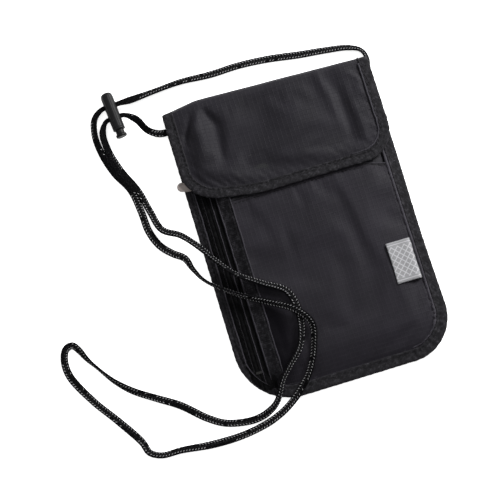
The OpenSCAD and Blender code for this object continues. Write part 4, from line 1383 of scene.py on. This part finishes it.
def add_plunger():
    def ribs(turn, height, radius):
        if radius < 3.3 or height < BUTTON_LOW + 0.5:
            return 0 * turn
        return -0.12 * smooth(0.2, 0.9, np.cos(turn * 16))

    stem_r = LOCK_BORE_R - 0.1
    top = LOCK_HOLES[0] + 2.8
    profile = [(0.2, BUTTON_LOW + 0.35), (1.4, BUTTON_LOW + 0.3), (2.3, BUTTON_LOW + 0.1), (2.9, BUTTON_LOW),
               (3.35, BUTTON_LOW + 0.18), (3.56, BUTTON_LOW + 0.6), (3.58, BUTTON_LOW + 1.2),
               (3.52, BUTTON_LOW + 1.75), (3.2, BUTTON_LOW + 2.0), (stem_r, BUTTON_LOW + 2.02)]
    profile += [(stem_r, h) for h in np.linspace(BUTTON_LOW + 2.5, top - 0.4, 14)]
    profile += [(stem_r - 0.3, top - 0.05), (0.2, top)]
    points, faces = lathe(profile, 64, ribs)
    plunger = mesh_object("lock_button", points, faces)
    slots = []
    for h in LOCK_HOLES:
        low, high = h - LOCK_HOLE_R - LOCK_TRAVEL, h + LOCK_HOLE_R
        cutter = box_object("slot", (-5, -LOCK_HOLE_R, low), (5, LOCK_HOLE_R, high))
        slots.append(bevelled(cutter, 0.3))
    cut(plunger, *slots)
    finish_piece(onto_lock(plunger), BUTTON_PLASTIC, "plunger", ["lock_plunger"])


def add_spring():
    low, high = LOCK_HOLES[0] + 3.2, LOCK_TOP - 1.25
    turns = 4.5
    t = np.linspace(0, 1, int(turns * 24))
    wound = 0.5 - 0.5 * np.cos(np.pi * t)
    height = low + 0.2 + (high - low - 0.4) * (0.35 * wound + 0.65 * t)
    a = t * turns * 2 * np.pi
    line = np.column_stack([2.2 * np.cos(a), 2.2 * np.sin(a), height])
    spring = onto_lock(tube("return_spring", line, 0.2, 8))
    finish_piece(spring, SPRING_METAL, "pouch", ["lock_spring"])
    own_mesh(spring)


def box_object(name, low, high):
    (x0, y0, z0), (x1, y1, z1) = low, high
    points = [(x, y, z) for z in (z0, z1) for y in (y0, y1) for x in (x0, x1)]
    faces = [(0, 2, 3, 1), (4, 5, 7, 6), (0, 1, 5, 4), (2, 6, 7, 3), (0, 4, 6, 2), (1, 3, 7, 5)]
    return mesh_object(name, points, faces)


def prism(name, outline, z0, z1):
    """A plate with that outline, going counter-clockwise."""
    n = len(outline)
    points = [(x, y, z0) for x, y in outline] + [(x, y, z1) for x, y in outline]
    faces = [tuple(reversed(range(n))), tuple(range(n, 2 * n))]
    faces += [(j, (j + 1) % n, n + (j + 1) % n, n + j) for j in range(n)]
    return mesh_object(name, points, faces)


def join(name, parts):
    """One object from several."""
    made = bmesh.new()
    for part in parts:
        part.data.transform(part.matrix_world)
        made.from_mesh(part.data)
        bpy.data.objects.remove(part)
    mesh = bpy.data.meshes.new(name)
    made.to_mesh(mesh)
    made.free()
    mesh.polygons.foreach_set("use_smooth", [True] * len(mesh.polygons))
    return link(bpy.data.objects.new(name, mesh))


def arc(cx, cy, r, a0, a1, count):
    a = np.radians(np.linspace(a0, a1, count))
    return [(cx + r * math.cos(t), cy + r * math.sin(t)) for t in a]


# ---- slider and pull ----

PULL_L, PULL_W, PULL_TURN = 16.5, 6.0, 16.0


def add_slider():
    low, high = corner("zip_slider", 0), corner("zip_slider", 1)
    length = (high[1] - low[1]) / 2
    outline = arc(0, -length + 2.4, 2.4, 180, 360, 12) + arc(1.9, length - 1.5, 1.5, 0, 90, 6) \
        + arc(-1.9, length - 1.5, 1.5, 90, 180, 6)
    outline = [(x * 1.02, y) for x, y in outline]
    top = TAPE_Z + 0.6
    parts = [bevelled(prism("upper", outline, top, top + 0.45), 0.16),
             bevelled(prism("lower", outline, low[2], low[2] + 0.4), 0.12),
             bevelled(box_object("post", (-0.2, 2.0, low[2] + 0.1), (0.2, 4.2, top + 0.1)), 0.05)]
    arch = [(0, -3.0, top + 0.2), (0, -3.0, top + 1.2), (0, -2.7, high[2] - 0.5), (0, -1.8, high[2] - 0.28),
            (0, 0, high[2] - 0.26), (0, 1.8, high[2] - 0.28), (0, 2.8, high[2] - 0.6), (0, 3.1, top + 1.0),
            (0, 3.1, top + 0.2)]
    line = smooth_route(np.column_stack([np.array(arch, float), np.zeros(len(arch))]), 0.3)[:, :3]
    bridge = tube("bridge", line[:, [1, 2, 0]], 0.5, 10)
    bridge.data.transform(Matrix(((0, 0, 1, 0), (1, 0, 0, 0), (0, 1, 0, 0), (0, 0, 0, 1))))
    slider = join("slider_body", parts + [bridge])
    slider.data.transform(Matrix.Translation((ZIP_X * MM, SLIDER_Y * MM, 0)))
    finish_piece(slider, ZIP_METAL, "slider", ["zip_slider"])


def add_pull():
    """Tab with a recessed face and a round eye at the bridge."""
    low, high = corner("zip_puller", 0), corner("zip_puller", 1)
    eye = (ZIP_X, SLIDER_Y - 3.0)
    half = PULL_W / 2
    tip = eye[0] - PULL_L + half
    neck, flare = eye[0] - 5.5, eye[0] - 8.0
    outline = arc(eye[0], eye[1], 1.7, -90, 90, 12)
    outline += [(neck, eye[1] + 1.6), ((neck + flare) / 2, eye[1] + 2.1), (flare, eye[1] + half * 0.94)]
    outline += arc(tip, eye[1], half, 90, 270, 20)
    outline += [(flare, eye[1] - half * 0.94), ((neck + flare) / 2, eye[1] - 2.1), (neck, eye[1] - 1.6)]
    tab = prism("pull_tab", outline, low[2], high[2])
    pocket = arc(tip, eye[1], half * 0.62, 90, 270, 20)
    pocket += [(flare - 0.6, eye[1] - half * 0.55), (flare - 0.6, eye[1] + half * 0.55)]
    recess = prism("recess", pocket, high[2] - 0.2, high[2] + 1)
    hole = rod("eye", 0.95, 4)
    hole.data.transform(Matrix.Translation((eye[0] * MM, eye[1] * MM, low[2] * MM)))
    cut(tab, recess, hole)
    bevelled(tab, 0.13, 50)
    pivot = Matrix.Translation((eye[0] * MM, eye[1] * MM, 0))
    tab.data.transform(pivot @ Matrix.Rotation(math.radians(-PULL_TURN), 4, "Z") @ pivot.inverted())
    finish_piece(tab, PULL_METAL, "puller", ["zip_puller"])


add_lock()
add_plunger()
add_spring()
add_slider()
add_pull()
add_lace()


# ---- CAD nodes that stay, with their own materials ----

def dress(node, material):
    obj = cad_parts[node]
    for s in obj.material_slots:
        s.material = material


dress("shield_film", FILM)
for stop in ("zip_top_stop", "zip_bottom_stop"):
    dress(stop, ZIP_METAL)
